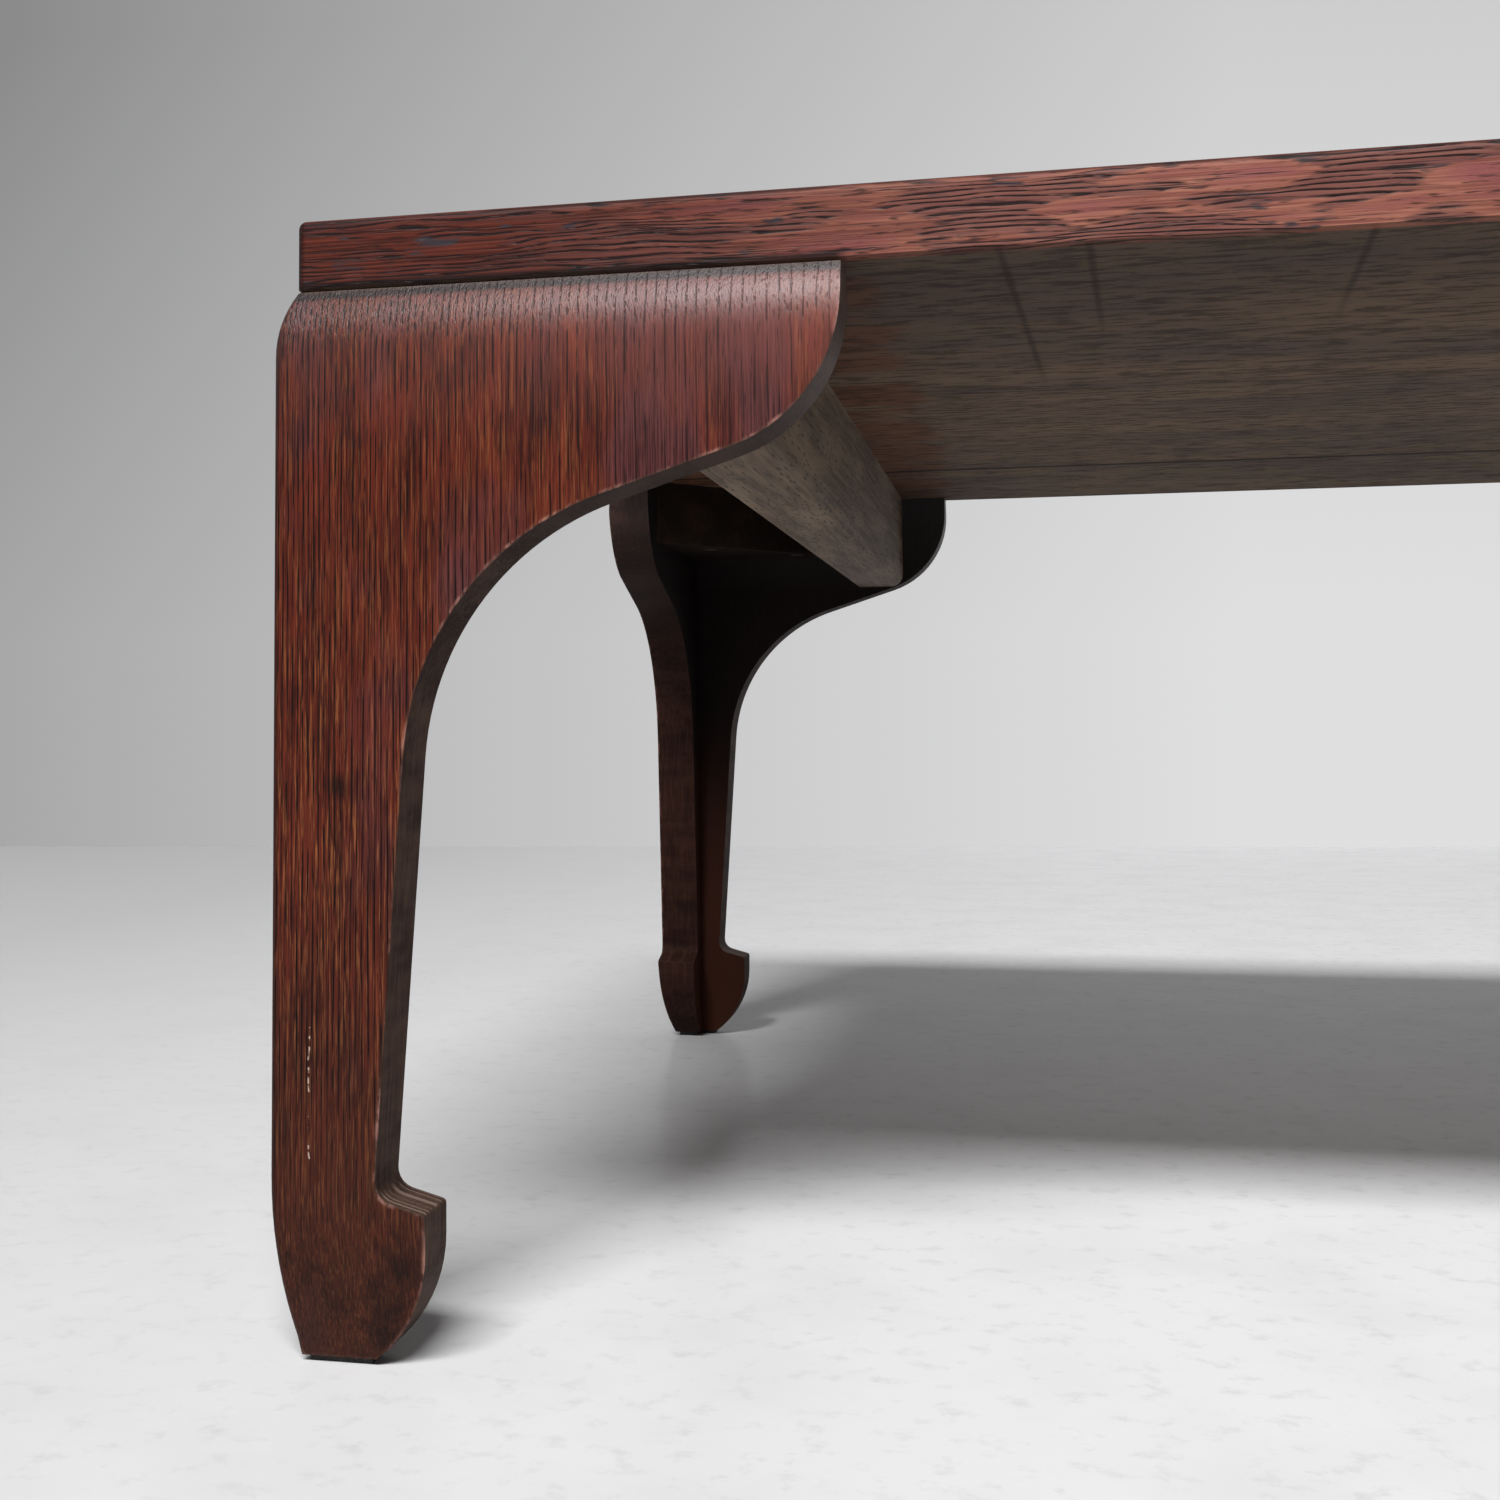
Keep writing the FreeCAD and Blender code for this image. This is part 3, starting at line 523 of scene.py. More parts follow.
        # Top: deep red, darker where a ring starts, with rows of pores there, and thinned in patches
        share = add("MapRange", (rings, 0.2, 0.8, 0.12))
        pores = add("Math", (vessels, share), operation="MULTIPLY")
        thin = add("MapRange", (zones, 0.4, 0.7, 0.0, 0.55))
        topside = add("MixRGB", (thin, dark, self.worn_deep))
        early = add("MapRange", (rings, 0.0, 1.0, 0.0, 0.6))
        topside = add("MixRGB", (early, topside, self.deep))
        face = add("MixRGB", (above, edge_face, topside))
        face = add("MixRGB", (pores, face, self.pore))
        # Bare underside: paler patches, lacquer spilt beside the battens, darker towards the front,
        # dark dashes and an open joint drawn coarse enough to show in a low view, and planing marks across
        tone = add("MapRange", (wood.fibres(45.0, 150.0, 4.0), 0.38, 0.6))
        plain = add("MixRGB", (tone, self.bare, self.bare_pale))
        spilt = add("MapRange", (end, 262 * MM, 292 * MM, 0.0, 2.2))
        spilt = add("Math", (spilt, clouds), operation="MULTIPLY")
        spilt = add("MapRange", (spilt, 0.85, 1.15, 0.0, 0.8))
        front = add("MapRange", (axes["Y"], 40 * MM, -280 * MM, 0.0, 0.62))
        dash = add("MapRange", (wood.fibres(3.6, 17.0, 5.0, 0.72), 0.5, 0.43, 0.0, 0.62))
        away = add("Math", (axes["Y"], self.open_joint * MM), operation="SUBTRACT")
        away = add("Math", (away,), operation="ABSOLUTE")
        gap = add("MapRange", (away, 4 * MM, 2 * MM, 0.0, 0.8))
        coats = [(spilt, self.spill), (front, self.bare_dark), (dash, self.pore), (gap, self.grime_and_shade)]
        slanted = add("Math", (axes["Y"], self.mark_slope, axes["X"]), operation="MULTIPLY_ADD")
        for start, reach in self.marks:
            away = add("Math", (slanted, start * MM), operation="SUBTRACT")
            away = add("Math", (away,), operation="ABSOLUTE")
            fading = add("MapRange", (axes["Y"], reach * MM, (reach - self.mark_fade) * MM, 0.0, 0.5))
            coats.append((add("MapRange", (away, 1.6 * MM, 0.4 * MM, 0.0, fading)), self.grime_and_shade))
        for share, tint in coats:
            plain = add("MixRGB", (share, plain, tint))
        colour = add("MixRGB", (below, face, plain))
        # Outer arrises rubbed pale in patches, grime in the joints
        edge = nodes.arris(1.6)[1]
        side = add("Math", (axes["Y"],), operation="ABSOLUTE")
        at_end = add("MapRange", (end, 448 * MM, 450 * MM))
        at_side = add("MapRange", (side, 296 * MM, 298 * MM))
        outside = add("Math", (at_end, at_side), operation="MAXIMUM")
        worn = add("MapRange", (blotch, 0.58, 0.68, 0.0, edge))
        worn = add("MapRange", (axes["Z"], 316 * MM, 322 * MM, 0.0, worn))
        worn = add("Math", (worn, outside), operation="MULTIPLY")
        seam = add("MapRange", (outside, 1.0, 0.0, 0.0, edge))
        for share, tint in ((worn, self.rubbed), (seam, self.grime_and_shade)):
            colour = add("MixRGB", (share, colour, tint))
        furrow = add("Math", (open_band, line), operation="MULTIPLY")
        hollow = add("Math", (furrow, pores), operation="MAXIMUM")
        hollow = add("MixRGB", (below, hollow, dash))
        relief = add("Math", (fibres, hollow), operation="SUBTRACT")
        bump = add("Bump", {"Strength": 0.5, "Distance": 0.35 * MM, "Height": relief})
        gloss = add("MapRange", (below, 0.0, 1.0, 0.44, 0.75))
        shader = add("BsdfPrincipled", {
            "Base Color": colour, "Roughness": gloss, "Normal": bump, "IOR": 1.5,
            "Specular IOR Level": 0.11})
        return nodes.finished(shader)


@dataclass(frozen=True)
class BareWood:
    """Plain hardwood, planed and left bare, greyed: dull, with dark pore dashes and pale arrises."""

    name: str
    grain: Grain
    ground: str = "#6b5949"
    dark: str = "#44372c"
    pale: str = "#857360"
    pore: str = "#241b16"
    lacquer: str = "#3b1810"
    lacquered_end: float = 302.9

    def material(self) -> Material:
        """Builds the material.

        Returns:
            The finished material.
        """
        nodes = Nodes(bpy.data.materials.new(f"bare_greyed_wood_{self.name}"))
        add = nodes.add
        wood = WoodFigure(nodes, self.grain)
        # Pores are drawn coarser than real ones, to show in a low view
        dashes = wood.pores(1.4, 13.0, 0.1, 0.36)
        fibres = wood.fibres(1.5, 60.0)
        clouds = wood.fibres(14.0, 90.0, 2.0)
        streak = add("MapRange", (fibres, 0.34, 0.68))
        colour = add("MixRGB", (streak, self.dark, self.ground))
        pale = add("MapRange", (clouds, 0.45, 0.7, 0.0, 0.6))
        edge = add("Math", (nodes.arris(2.0)[1], 0.5), operation="MULTIPLY")
        # Where a batten's end shows in the top's rear edge, it was lacquered with that edge
        depth = add("SeparateXYZ", (wood.space,), "Y")
        flush = add("Math", (depth, self.lacquered_end * MM), operation="GREATER_THAN")
        for share, tint in (
                (pale, self.pale), (dashes, self.pore), (edge, self.pale), (flush, self.lacquer)):
            colour = add("MixRGB", (share, colour, tint))
        relief = add("Math", (fibres, dashes), operation="SUBTRACT")
        bump = add("Bump", {"Strength": 0.3, "Distance": 0.2 * MM, "Height": relief})
        shader = add("BsdfPrincipled", {
            "Base Color": colour, "Roughness": 0.68, "Normal": bump, "IOR": 1.5, "Specular IOR Level": 0.2})
        return nodes.finished(shader)


@dataclass(frozen=True)
class SheetRubber:
    """Thin sheet rubber, calendered: almost black and dull, with dust in its fine grain."""

    black: str = "#1f1c1a"
    dust: str = "#4a443e"

    def material(self) -> Material:
        """Builds the material.

        Returns:
            The finished material.
        """
        nodes = Nodes(bpy.data.materials.new("calendered_sheet_rubber"))
        add = nodes.add
        place = add("TexCoord", out="Object")
        grain = add("TexNoise", {"Vector": place, "Scale": 1 / (1.2 * MM), "Detail": 2.0})
        dusty = add("MapRange", (grain, 0.5, 0.75, 0.0, 0.6))
        colour = add("MixRGB", (dusty, self.black, self.dust))
        bump = add("Bump", {"Strength": 0.3, "Distance": 0.1 * MM, "Height": grain})
        shader = add("BsdfPrincipled", {
            "Base Color": colour, "Roughness": 0.82, "Normal": bump, "IOR": 1.52})
        return nodes.finished(shader)


@dataclass(frozen=True)
class DulledSteel:
    """Wood screws of bright drawn steel, dulled by handling, with brown specks of rust."""

    bright: str = "#6f6b66"
    rust: str = "#44291b"

    def material(self) -> Material:
        """Builds the material.

        Returns:
            The finished material.
        """
        nodes = Nodes(bpy.data.materials.new("drawn_steel_dulled"))
        add = nodes.add
        place = add("TexCoord", out="Object")
        specks = add("TexNoise", {"Vector": place, "Scale": 1 / (1.5 * MM), "Detail": 3.0})
        rusty = add("MapRange", (specks, 0.46, 0.6))
        colour = add("MixRGB", (rusty, self.bright, self.rust))
        metal = add("MapRange", (rusty, 0.0, 1.0, 1.0, 0.2))
        rough = add("MapRange", (rusty, 0.0, 1.0, 0.38, 0.8))
        shader = add("BsdfPrincipled", {"Base Color": colour, "Metallic": metal, "Roughness": rough})
        return nodes.finished(shader)


def pick(piece: Object) -> None:
    """Selects one object alone and makes it the active one.

    Args:
        piece: the object.
    """
    bpy.ops.object.select_all(action="DESELECT")
    piece.select_set(True)
    bpy.context.view_layer.objects.active = piece


@contextmanager
def shaping(piece: Object) -> Iterator[None]:
    """Opens an object in edit mode with all of it selected, and closes it afterwards.

    Args:
        piece: the object to shape.
    """
    pick(piece)
    bpy.ops.object.mode_set(mode="EDIT")
    bpy.ops.mesh.select_all(action="SELECT")
    yield
    bpy.ops.object.mode_set(mode="OBJECT")


def choose(piece: Object, part: Part, test: Callable[[BMVert | BMEdge], bool]) -> None:
    """Selects the points or edges of the open mesh that pass a test.

    Args:
        piece: the object in edit mode.
        part: points or edges.
        test: tells whether one is wanted.
    """
    bpy.ops.mesh.select_mode(type=part.value)
    bpy.ops.mesh.select_all(action="DESELECT")
    mesh = bmesh.from_edit_mesh(piece.data)
    mesh.normal_update()
    for one in mesh.verts if part is Part.POINT else mesh.edges:
        one.select = test(one)
    mesh.select_flush_mode()
    bmesh.update_edit_mesh(piece.data)


def duplicate(piece: Object, name: str) -> Object:
    """Copies an object with a mesh of its own.

    Args:
        piece: the object to copy.
        name: the copy's name.

    Returns:
        The copy.
    """
    copy = piece.copy()
    copy.data = piece.data.copy()
    copy.name = name
    bpy.context.scene.collection.objects.link(copy)
    return copy


@dataclass
class LegBoards:
    """Eight leg boards, S-curved brackets over hoofed shanks, mitred in pairs, in mm and degrees.

    A rub is the mean and the swing of an arris's rounding, as parts of the widest.
    """

    half_length: float = 459.499
    half_width: float = 307.999
    underside: float = 311.0
    foot: float = 2.0
    thickness: float = 21.0
    reach: float = 167.0
    tip_face: float = 9.0
    tip_radius: float = 45.0
    brow_angle: float = 18.0
    knee_radius: float = 84.0
    shank_angle: float = 4.0
    ankle_width: float = 31.8
    heel_radius: float = 6.0
    ledge_angle: float = 15.0
    hoof_width: float = 46.5
    hoof_height: float = 42.5
    hoof_round: float = 33.0
    nose_radius: float = 1.5
    foot_width: float = 30.0
    shoulder_rise: float = 20.0
    shoulder_inset: float = 5.0
    drawn_height: float = 52.0
    drawn_inset: float = 7.3
    corner_round: float = 2.0
    arris: float = 1.5
    outside_rub: tuple[float, float] = (0.62, 0.38)
    inside_rub: tuple[float, float] = (0.3, 0.1)
    rub_length: float = 14.0
    stride: float = 4.0
    fewest_arc_steps: int = 5
    shoulder_steps: int = 8
    drawn_steps: int = 10
    corner_steps: int = 6
    arris_steps: int = 3
    sharp_angle: float = 50.0
    smooth_angle: float = 32.0

    def outline(self) -> list[tuple[Vector, Vector | None]]:
        """Works out the corners of a board's face, as width from the outer corner and level.

        Returns:
            Each corner with the centre of the arc that leads to it, or None where a line does.
        """
        brow, shank, ledge = map(math.radians, (self.brow_angle, self.shank_angle, self.ledge_angle))

        def around(centre: Vector, angle: float, radius: float) -> Vector:
            """Gives the point at an angle on a circle."""
            return centre + radius * Vector((math.cos(angle), math.sin(angle)))

        # Hoof, with its nose
        round_start = Vector((self.hoof_width, self.foot + self.hoof_round))
        overhang = self.hoof_width - self.foot_width
        hoof_radius = (self.hoof_round ** 2 + overhang ** 2) / (2 * overhang)
        hoof_centre = round_start - Vector((hoof_radius, 0))
        nose_drop = self.nose_radius * math.tan(math.pi / 4 - ledge / 2)
        nose_centre = Vector((self.hoof_width - self.nose_radius, self.foot + self.hoof_height - nose_drop))
        nose_end = around(nose_centre, math.pi / 2 - ledge, self.nose_radius)
        # Heel, touching the ledge and the shank
        heel_width = self.ankle_width + self.heel_radius * math.cos(shank)
        ledge_level = nose_end.y + (nose_end.x - heel_width) * math.tan(ledge)
        heel_centre = Vector((heel_width, ledge_level + self.heel_radius / math.cos(ledge)))
        heel_start = around(heel_centre, -ledge - math.pi / 2, self.heel_radius)
        heel_end = around(heel_centre, math.pi - shank, self.heel_radius)
        # Bracket, whose brow and the shank meet in the knee
        tip_start = Vector((self.reach, self.underside - self.tip_face))
        tip_centre = tip_start - Vector((self.tip_radius, 0))
        tip_end = around(tip_centre, brow - math.pi / 2, self.tip_radius)
        shank_way = Vector((math.sin(shank), math.cos(shank)))
        brow_way = Vector((math.cos(brow), math.sin(brow)))
        gap = tip_end - heel_end
        run = gap.cross(brow_way) / shank_way.cross(brow_way)
        trim = self.knee_radius * math.tan((math.pi / 2 - brow - shank) / 2)
        knee_start = heel_end + (run - trim) * shank_way
        knee_end = heel_end + run * shank_way + trim * brow_way
        knee_centre = around(knee_start, -shank, self.knee_radius)
        return [
            (Vector((0, self.foot)), None),
            (Vector((self.foot_width, self.foot)), None),
            (round_start, hoof_centre),
            (nose_centre + Vector((self.nose_radius, 0)), None),
            (nose_end, nose_centre),
            (heel_start, None),
            (heel_end, heel_centre),
            (knee_start, None),
            (knee_end, knee_centre),
            (tip_end, None),
            (tip_start, tip_centre),
            (Vector((self.reach, self.underside)), None),
            (Vector((0, self.underside)), None),
            (Vector((0, self.foot)), None),
        ]

    def trace(self) -> Object:
        """Draws the face's outline point by point, with lines and spun arcs, and fills it.

        Returns:
            The flat face, standing on the table's front side of one leg's own corner.
        """
        corners = self.outline()
        bpy.ops.object.select_all(action="DESELECT")
        bpy.ops.mesh.primitive_plane_add(size=self.thickness * MM)
        face = bpy.context.object
        with shaping(face):
            bpy.ops.mesh.select_mode(type="VERT")
            bpy.ops.mesh.merge(type="CENTER")
            bpy.ops.transform.translate(value=(0, 0, self.foot * MM))
            here = corners[0][0]
            for there, centre in corners[1:]:
                if centre is None:
                    steps = max(1, round((there - here).length / self.stride))
                    part = (there - here) * MM / steps
                    for _ in range(steps):
                        bpy.ops.mesh.extrude_region_move(
                            TRANSFORM_OT_translate={"value": (part.x, 0, part.y)})
                else:
                    start, end = here - centre, there - centre
                    angle = end.angle_signed(start)
                    steps = max(self.fewest_arc_steps, round(abs(angle) * start.length / self.stride))
                    bpy.ops.mesh.spin(steps=steps, angle=angle, axis=(0, 1, 0),
                                      center=(centre.x * MM, 0, centre.y * MM))
                here = there
            bpy.ops.mesh.select_all(action="SELECT")
            bpy.ops.mesh.remove_doubles(threshold=WELD)
            bpy.ops.mesh.edge_face_add()
        return face

    def drawn_in(self, level: float) -> float:
        """Gives how far the outer face stands back at a level.

        Args:
            level: the height in mm.

        Returns:
            The set-back in mm.
        """
        for rise, inset, height in (
                (self.shoulder_rise, self.shoulder_inset, level - self.underside + self.shoulder_rise),
                (self.drawn_height, self.drawn_inset, self.foot + self.drawn_height - level)):
            if height > 0:
                radius = (rise ** 2 + inset ** 2) / (2 * inset)
                return radius - math.sqrt(radius ** 2 - height ** 2)
        return 0.0

    def corner_pair(self) -> tuple[Object, Object]:
        """Makes the two boards of one leg round their outer corner at the origin.

        Returns:
            The board along X and the board along Y.
        """
        board = self.trace()
        shoulder = [self.underside - self.shoulder_rise * (step + 1) / self.shoulder_steps
                    for step in range(self.shoulder_steps)]
        drawn = [self.foot + self.drawn_height * (step + 1) / self.drawn_steps
                 for step in range(self.drawn_steps)]
        with shaping(board):
            bpy.ops.mesh.extrude_region_move(TRANSFORM_OT_translate={"value": (0, self.thickness * MM, 0)})
            for level in shoulder + drawn:
                bpy.ops.mesh.select_all(action="SELECT")
                bpy.ops.mesh.bisect(plane_co=(0, 0, level * MM), plane_no=(0, 0, 1), threshold=CLOSE)
            levels = {round(point.co.z / MM, 3) for point in bmesh.from_edit_mesh(board.data).verts}
            for level in sorted(levels):
                depth = self.drawn_in(level)
                if depth > 0:
                    choose(board, Part.POINT, lambda point: point.co.y < NEAR
                           and abs(point.co.z - level * MM) < CLOSE)
                    bpy.ops.transform.translate(value=(0, depth * MM, 0))
            bpy.ops.mesh.select_all(action="SELECT")
            bpy.ops.mesh.bisect(plane_co=(0, 0, 0), plane_no=(-1, 1, 0), threshold=CLOSE, clear_outer=True)
        # The second board is the first one's mirror across the mitre
        other = duplicate(board, "mirror_board")
        other.matrix_world = Matrix(((0, 1, 0, 0), (1, 0, 0, 0), (0, 0, 1, 0), (0, 0, 0, 1)))
        pick(other)
        bpy.ops.object.transform_apply(location=True, rotation=True, scale=True)
        pick(board)
        other.select_set(True)
        bpy.ops.object.join()
        with shaping(board):
            bpy.ops.mesh.remove_doubles(threshold=WELD)
            bpy.ops.mesh.normals_make_consistent(inside=False)
            limit = self.thickness / 2 * MM
            choose(board, Part.EDGE, lambda edge: all(
                abs(end.co.x - end.co.y) < CLOSE and end.co.x < limit for end in edge.verts)
                and abs(edge.verts[0].co.z - edge.verts[1].co.z) > CLOSE)
            bpy.ops.mesh.bevel(offset=self.corner_round * MM, segments=self.corner_steps, affect="EDGES")
        crossing = duplicate(board, "crossing_board")
        for half, way in ((board, 1), (crossing, -1)):
            with shaping(half):
                bpy.ops.mesh.bisect(plane_co=(0, 0, 0), plane_no=(-way, way, 0), threshold=CLOSE,
                                    use_fill=True, clear_outer=True)
                bpy.ops.mesh.select_all(action="SELECT")
                bpy.ops.mesh.normals_make_consistent(inside=False)
                choose(half, Part.EDGE, self.is_arris)
                bpy.ops.mesh.mark_seam()
        return board, crossing

    def is_arris(self, edge: BMEdge) -> bool:
        """Tells an outside edge that hands and feet rub from joints and hollows.

        Args:
            edge: an edge of a board at its leg's own corner.

        Returns:
            True for an arris.
        """
        if len(edge.link_faces) != 2 or edge.calc_face_angle_signed(0.0) < math.radians(self.sharp_angle):
            return False
        ends = [end.co for end in edge.verts]
        in_mitre = all(abs(end.x - end.y) < NEAR for end in ends)
        under_top = all(end.z > self.underside * MM - NEAR for end in ends)
        outside = all(min(end.x, end.y) < self.thickness / 2 * MM for end in ends)
        return not in_mitre and (outside or not under_top)

    def ease(self, board: Object, facing: Facing) -> None:
        """Rounds a placed board's arrises unevenly, as use does, and less inside the leg.

        Args:
            board: the board in its place.
            facing: the way that its outer face looks.
        """
        way = Vector(facing.value)
        points = board.data.vertices
        outer_face = max(point.co.dot(way) for point in points)
        weights = board.data.attributes.new("bevel_weight_edge", "FLOAT", "EDGE")
        for edge in board.data.edges:
            if edge.use_seam:
                middle = (points[edge.vertices[0]].co + points[edge.vertices[1]].co) / 2
                hidden = outer_face - middle.dot(way) > self.thickness * MM - NEAR
                mean, swing = self.inside_rub if hidden else self.outside_rub
                weights.data[edge.index].value = mean + swing * noise.noise(middle / (self.rub_length * MM))
        pick(board)
        bpy.ops.object.shade_smooth_by_angle(angle=math.radians(self.smooth_angle))
        rounding = board.modifiers.new("rubbed_arris", "BEVEL")
        rounding.limit_method = "WEIGHT"
        rounding.width = self.arris * MM
        rounding.segments = self.arris_steps
        rounding.harden_normals = True
        bpy.ops.object.modifier_apply(modifier=rounding.name)

    def build(self) -> None:
        """Copies the pair of boards to the four corners, eases and dresses them."""
        pair = self.corner_pair()
        finishes = {facing: WipedLacquerBoard(facing, self.half_length).material()
                    for facing in (Facing.FRONT, Facing.REAR)}
        # Painted shade: the end boards get darker sawn edges and ledge ridges, a shaded copy of the finish
        for facing in (Facing.LEFT, Facing.RIGHT):
            finishes[facing] = WipedLacquerBoard(
                facing, self.half_width, cut="#220f0b", cut_pale="#3a2219", ridge="#463027").material()
        ways = list(Facing)
        corners = (("front_left", -1, -1), ("front_right", 1, -1),
                   ("rear_right", 1, 1), ("rear_left", -1, 1))
        for turn, (corner, side, end) in enumerate(corners):
            place = Matrix.Translation((side * self.half_length * MM, end * self.half_width * MM, 0))
            for source, first in zip(pair, (0, 3)):
                facing = ways[(first + turn) % 4]
                kind = "side" if facing in (Facing.FRONT, Facing.REAR) else "end"
                node = f"{corner}_{kind}_board"
                board = duplicate(source, f"shaped_{node}")
                board.matrix_world = place @ Matrix.Rotation(turn * math.pi / 2, 4, "Z")
                pick(board)
                bpy.ops.object.transform_apply(location=True, rotation=True, scale=True)
                self.ease(board, facing)
                board.data.materials.clear()
                board.data.materials.append(finishes[facing])
                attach(board, "root")
                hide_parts(node)
                LOG.info("%s: %d faces", board.name, len(board.data.polygons))
        for source in pair:
            bpy.data.objects.remove(source)


@dataclass
class KeptNodes:
    """Pieces whose shape in the frame is right already, dressed in their own finishes."""

    front_joint: float = -70.0
    rear_joint: float = 163.0
    half_depth: float = 303.0

    def dress(self) -> None:
        """Gives every kept piece its material."""
        piths = {
            "front": (-235.0, (self.front_joint - self.half_depth) / 2, 190.0),
            "middle": (300.0, (self.front_joint + self.rear_joint) / 2, 210.0),
            "rear": (700.0, (self.rear_joint + self.half_depth) / 2 + 30, 230.0),
        }
        finishes = {f"_{name}_plank": WipedLacquerPlank(name, pith, self.rear_joint).material()
                    for name, pith in piths.items()}
        finishes |= {
            "_batten": BareWood("batten", Grain.ACROSS).material(),
            # Painted shade: the corner blocks get the bare wood in near-black colours, a shaded copy of it
            "_corner_block": BareWood(
                "block", Grain.ALONG, "#22160f", "#150d09", "#33231a", "#0e0806").material(),
            "_joint_tongue": BareWood("tongue", Grain.ALONG).material(),
            "_mitre_spline": BareWood("spline", Grain.UPRIGHT).material(),
            "_foot_pad": SheetRubber().material(),
            "_screws": DulledSteel().material(),
        }
        for name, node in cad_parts.items():
            for ending, finish in finishes.items():
                if name.endswith(ending):
                    node.data.materials.clear()
                    node.data.materials.append(finish)
                    LOG.info("%s: %s", name, finish.name)


@dataclass(frozen=True)
class PaleFloor:
    """Smooth pale floor paint, rolled on and worn: nearly white, with scuffs, grit, a soft gloss and
    painted shade to the left.
    """

    colour: str = "#ebebec"
    scuffed: str = "#e5e5e6"
    gritty: str = "#bcbcbd"
    painted_dimming: str = "#d2d2d3"
    gloss: float = 0.3

    def material(self) -> Material:
        """Builds the material.

        Returns:
            The finished material.
        """
        nodes = Nodes(bpy.data.materials.new("rolled_floor_paint"))
        add = nodes.add
        place = add("TexCoord", out="Object")
        scuffs = add("TexNoise", {"Vector": place, "Scale": 1 / (60 * MM), "Detail": 6.0})
        scuffed = add("MapRange", (scuffs, 0.45, 0.7))
        colour = add("MixRGB", (scuffed, self.colour, self.scuffed))
        grit = add("TexNoise", {
            "Vector": place, "Scale": 1 / (11 * MM), "Detail": 7.0, "Roughness": 0.65})
        gritty = add("MapRange", (grit, 0.54, 0.74, 0.0, 0.45))
        colour = add("MixRGB", (gritty, colour, self.gritty))
        # Painted shade: the floor grows darker towards the left
        axes = add("SeparateXYZ", (place,), None)
        left = add("MapRange", (axes["X"], -200 * MM, -1100 * MM))
        colour = add("MixRGB", (left, colour, self.painted_dimming))
        matt = add("BsdfDiffuse", {"Color": colour})
        gloss = add("BsdfAnisotropic", {"Color": "#ffffff", "Roughness": 0.24})
        grazing = add("Fresnel", {"IOR": 1.45})
        share = add("Math", (grazing, self.gloss), operation="MULTIPLY")
        surface = add("MixShader", (share, matt, gloss))
        return nodes.finished(surface)


@dataclass(frozen=True)
class PaleWall:
    """Plain wall paint: pale grey, with painted shade that darkens it to the left and near the top, seen at
    its own tone.
    """

    bright: str = "#e0e0e1"
    dim: str = "#8a8a8b"

    def material(self) -> Material:
        """Builds the material.

        Returns:
            The finished material.
        """
        nodes = Nodes(bpy.data.materials.new("flat_wall_paint"))
        add = nodes.add
        place = add("TexCoord", out="Object")
        axes = add("SeparateXYZ", (place,), None)
        # Painted shade: darker to the left and towards the top
        sideways = add("MapRange", (axes["X"], -1800 * MM, 50 * MM, 0.0, 0.72))
        lower = add("MapRange", (axes["Z"], 300 * MM, 1250 * MM, 0.27, 0.0))
        share = add("Math", (sideways, lower), operation="ADD", use_clamp=True)
        colour = add("MixRGB", (share, self.dim, self.bright))
        paint = add("BsdfDiffuse", {"Color": colour})
        shown = add("Emission", {"Color": colour, "Strength": 1.0})
        return nodes.finished(nodes.seen_directly(paint, shown))


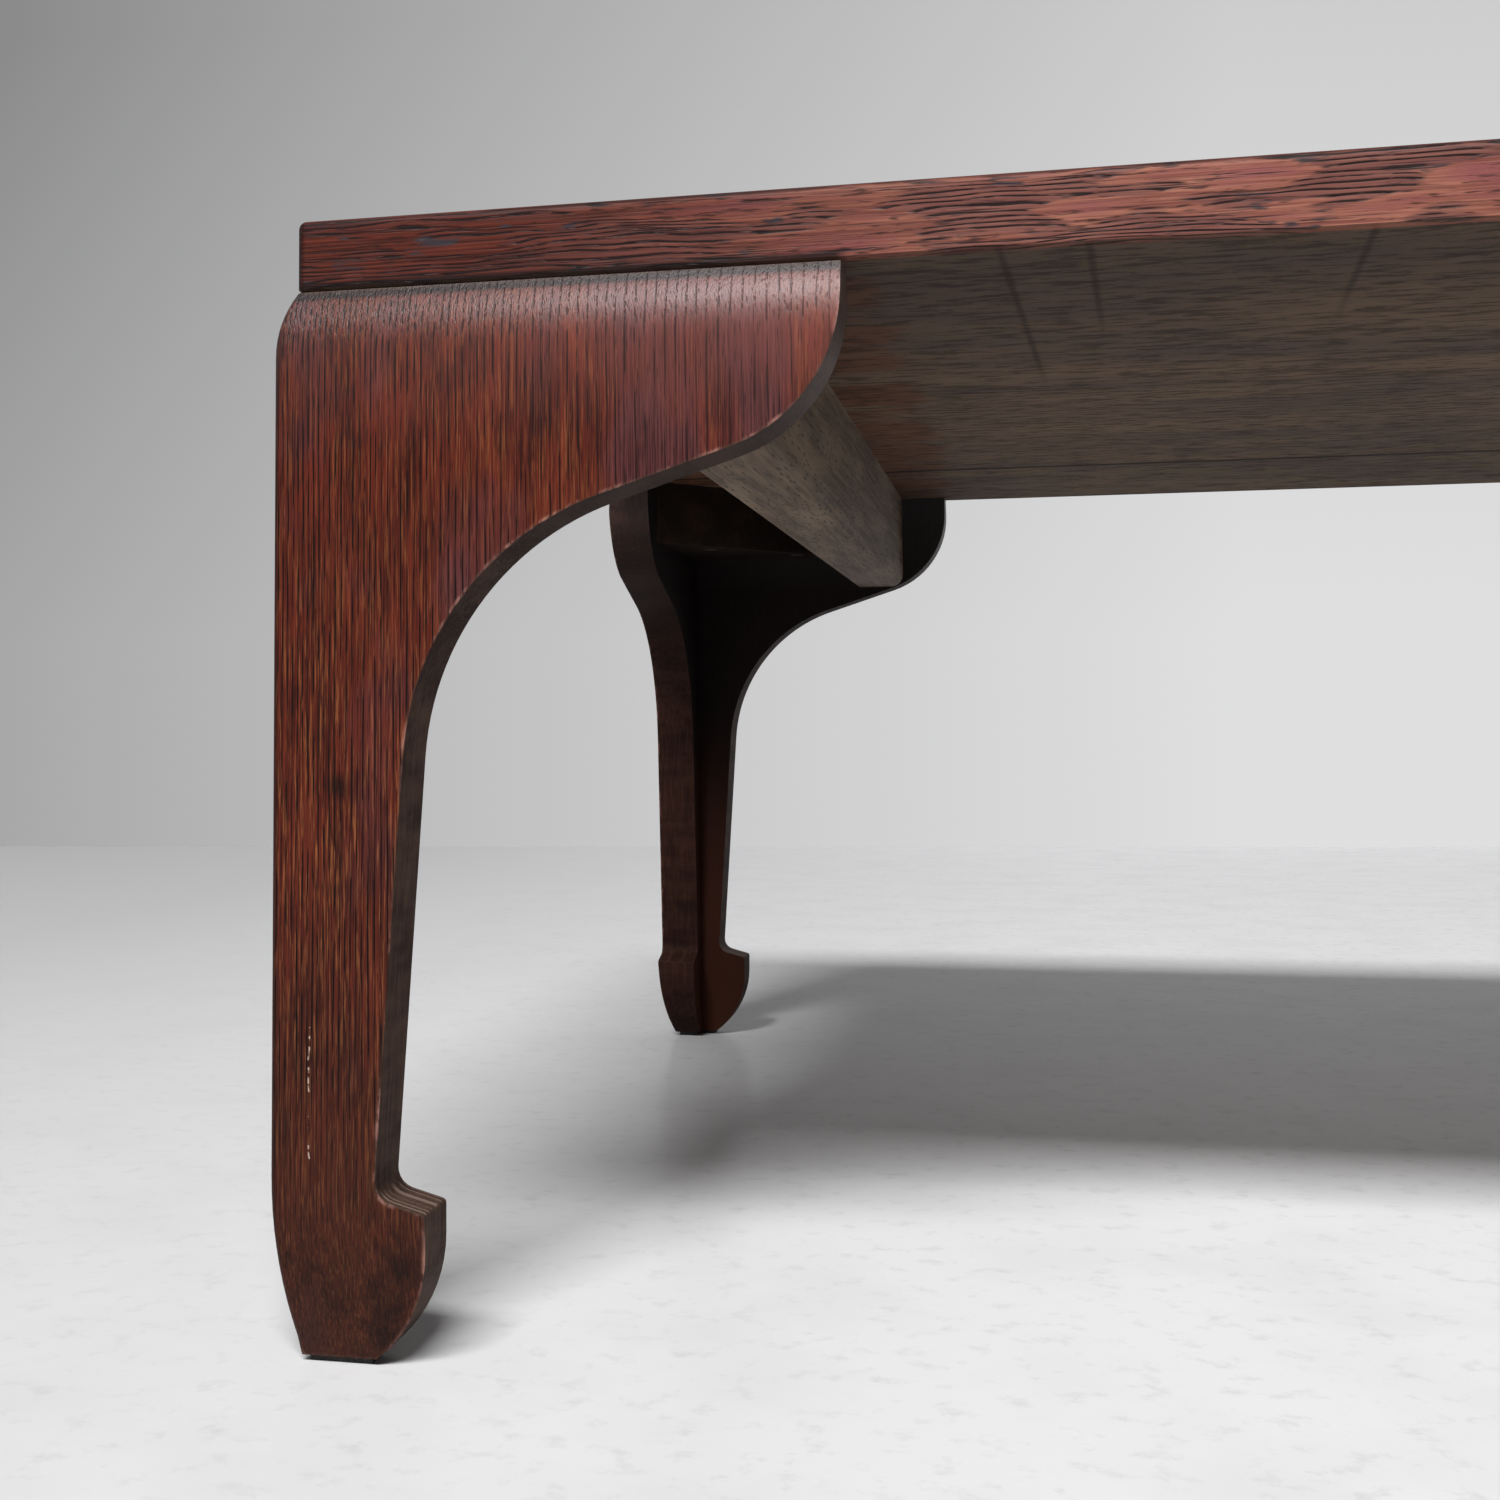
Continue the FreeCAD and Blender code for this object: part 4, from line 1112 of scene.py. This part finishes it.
@dataclass
class Room:
    """Pale floor and wall, a large soft lamp in front and above, an even fill and the camera.

    Lengths are in mm and angles in radians.
    """

    wall_distance: float = 1985.0
    wall_turn: float = 0.115
    wall_height: float = 2600.0
    half_floor: float = 4000.0
    lamp_place: tuple[float, float, float] = (-297.0, -4364.0, 4700.0)
    lamp_width: float = 3300.0
    lamp_height: float = 1100.0
    lamp_power: float = 532.0
    fill: float = 0.015
    distance: str = "#c4c5c7"
    camera_place: tuple[float, float, float] = (-241.08, -828.54, 183.10)
    camera_yaw: float = 0.2278
    camera_pitch: float = 0.0721
    camera_roll: float = -0.0068
    focal_pixels: float = 1903.12
    view_middle: tuple[float, float] = (597.24, 583.46)
    sensor: float = 36.0

    def build(self) -> None:
        """Makes the floor and the wall, the light and the camera."""
        self.surfaces()
        self.light()
        self.camera()

    def surfaces(self) -> None:
        """Makes the floor from a plane and draws the wall up from its rear edge."""
        bpy.ops.object.select_all(action="DESELECT")
        bpy.ops.mesh.primitive_plane_add(size=2 * self.half_floor * MM, rotation=(0, 0, self.wall_turn))
        floor = bpy.context.object
        floor.name = "studio_floor"
        bpy.ops.object.transform_apply(location=True, rotation=True, scale=True)
        back = Vector((-math.sin(self.wall_turn), math.cos(self.wall_turn), 0))
        with shaping(floor):
            choose(floor, Part.POINT, lambda point: point.co.dot(back) > 0)
            bpy.ops.transform.translate(value=back * (self.wall_distance - self.half_floor) * MM)
        wall = duplicate(floor, "studio_wall")
        with shaping(wall):
            choose(wall, Part.POINT, lambda point: point.co.dot(back) > 0)
            bpy.ops.mesh.extrude_region_move(
                TRANSFORM_OT_translate={"value": (0, 0, self.wall_height * MM)})
            choose(wall, Part.POINT, lambda point: point.co.dot(back) < 0)
            bpy.ops.mesh.delete(type="VERT")
        floor.data.materials.append(PaleFloor().material())
        wall.data.materials.append(PaleWall().material())
        LOG.info("floor and wall stand")

    def light(self) -> None:
        """Hangs the soft lamp and fills the room evenly."""
        lamp = bpy.data.lights.new("soft_lamp", "AREA")
        lamp.shape = "RECTANGLE"
        lamp.size = self.lamp_width * MM
        lamp.size_y = self.lamp_height * MM
        lamp.energy = self.lamp_power
        hung = bpy.data.objects.new("soft_lamp", lamp)
        hung.location = Vector(self.lamp_place) * MM
        hung.rotation_euler = (-hung.location).to_track_quat("-Z", "Y").to_euler()
        hung.visible_camera = False
        bpy.context.scene.collection.objects.link(hung)
        nodes = Nodes(bpy.data.worlds.new("even_fill"))
        fill = nodes.add("Background", {"Color": "#ffffff", "Strength": self.fill})
        shown = nodes.add("Background", {"Color": self.distance, "Strength": 1.0})
        nodes.add("OutputWorld", {"Surface": nodes.seen_directly(fill, shown)}, None)
        bpy.context.scene.world = nodes.owner
        bpy.context.scene.view_settings.view_transform = "Standard"
        LOG.info("lamp and fill are on")

    def camera(self) -> None:
        """Sets the camera where the photograph was taken; that is a crop, hence the shifted middle."""
        eye = bpy.data.cameras.new("photograph_view")
        eye.sensor_width = self.sensor
        eye.lens = self.focal_pixels * self.sensor / PICTURE_SIZE
        eye.shift_x = 0.5 - self.view_middle[0] / PICTURE_SIZE
        eye.shift_y = self.view_middle[1] / PICTURE_SIZE - 0.5
        eye.clip_start = 10 * MM
        stand = bpy.data.objects.new("photograph_view", eye)
        place = Matrix.Translation(Vector(self.camera_place) * MM)
        for angle, axis in ((self.camera_yaw, "Z"), (math.pi / 2 + self.camera_pitch, "X"),
                            (self.camera_roll, "Z")):
            place = place @ Matrix.Rotation(angle, 4, axis)
        stand.matrix_world = place
        bpy.context.scene.collection.objects.link(stand)
        bpy.context.scene.camera = stand
        LOG.info("camera stands")


def main() -> None:
    """Builds and dresses everything in order."""
    logging.basicConfig(level=logging.INFO)
    LegBoards().build()
    KeptNodes().dress()
    Room().build()


if __name__ == "__main__":
    main()
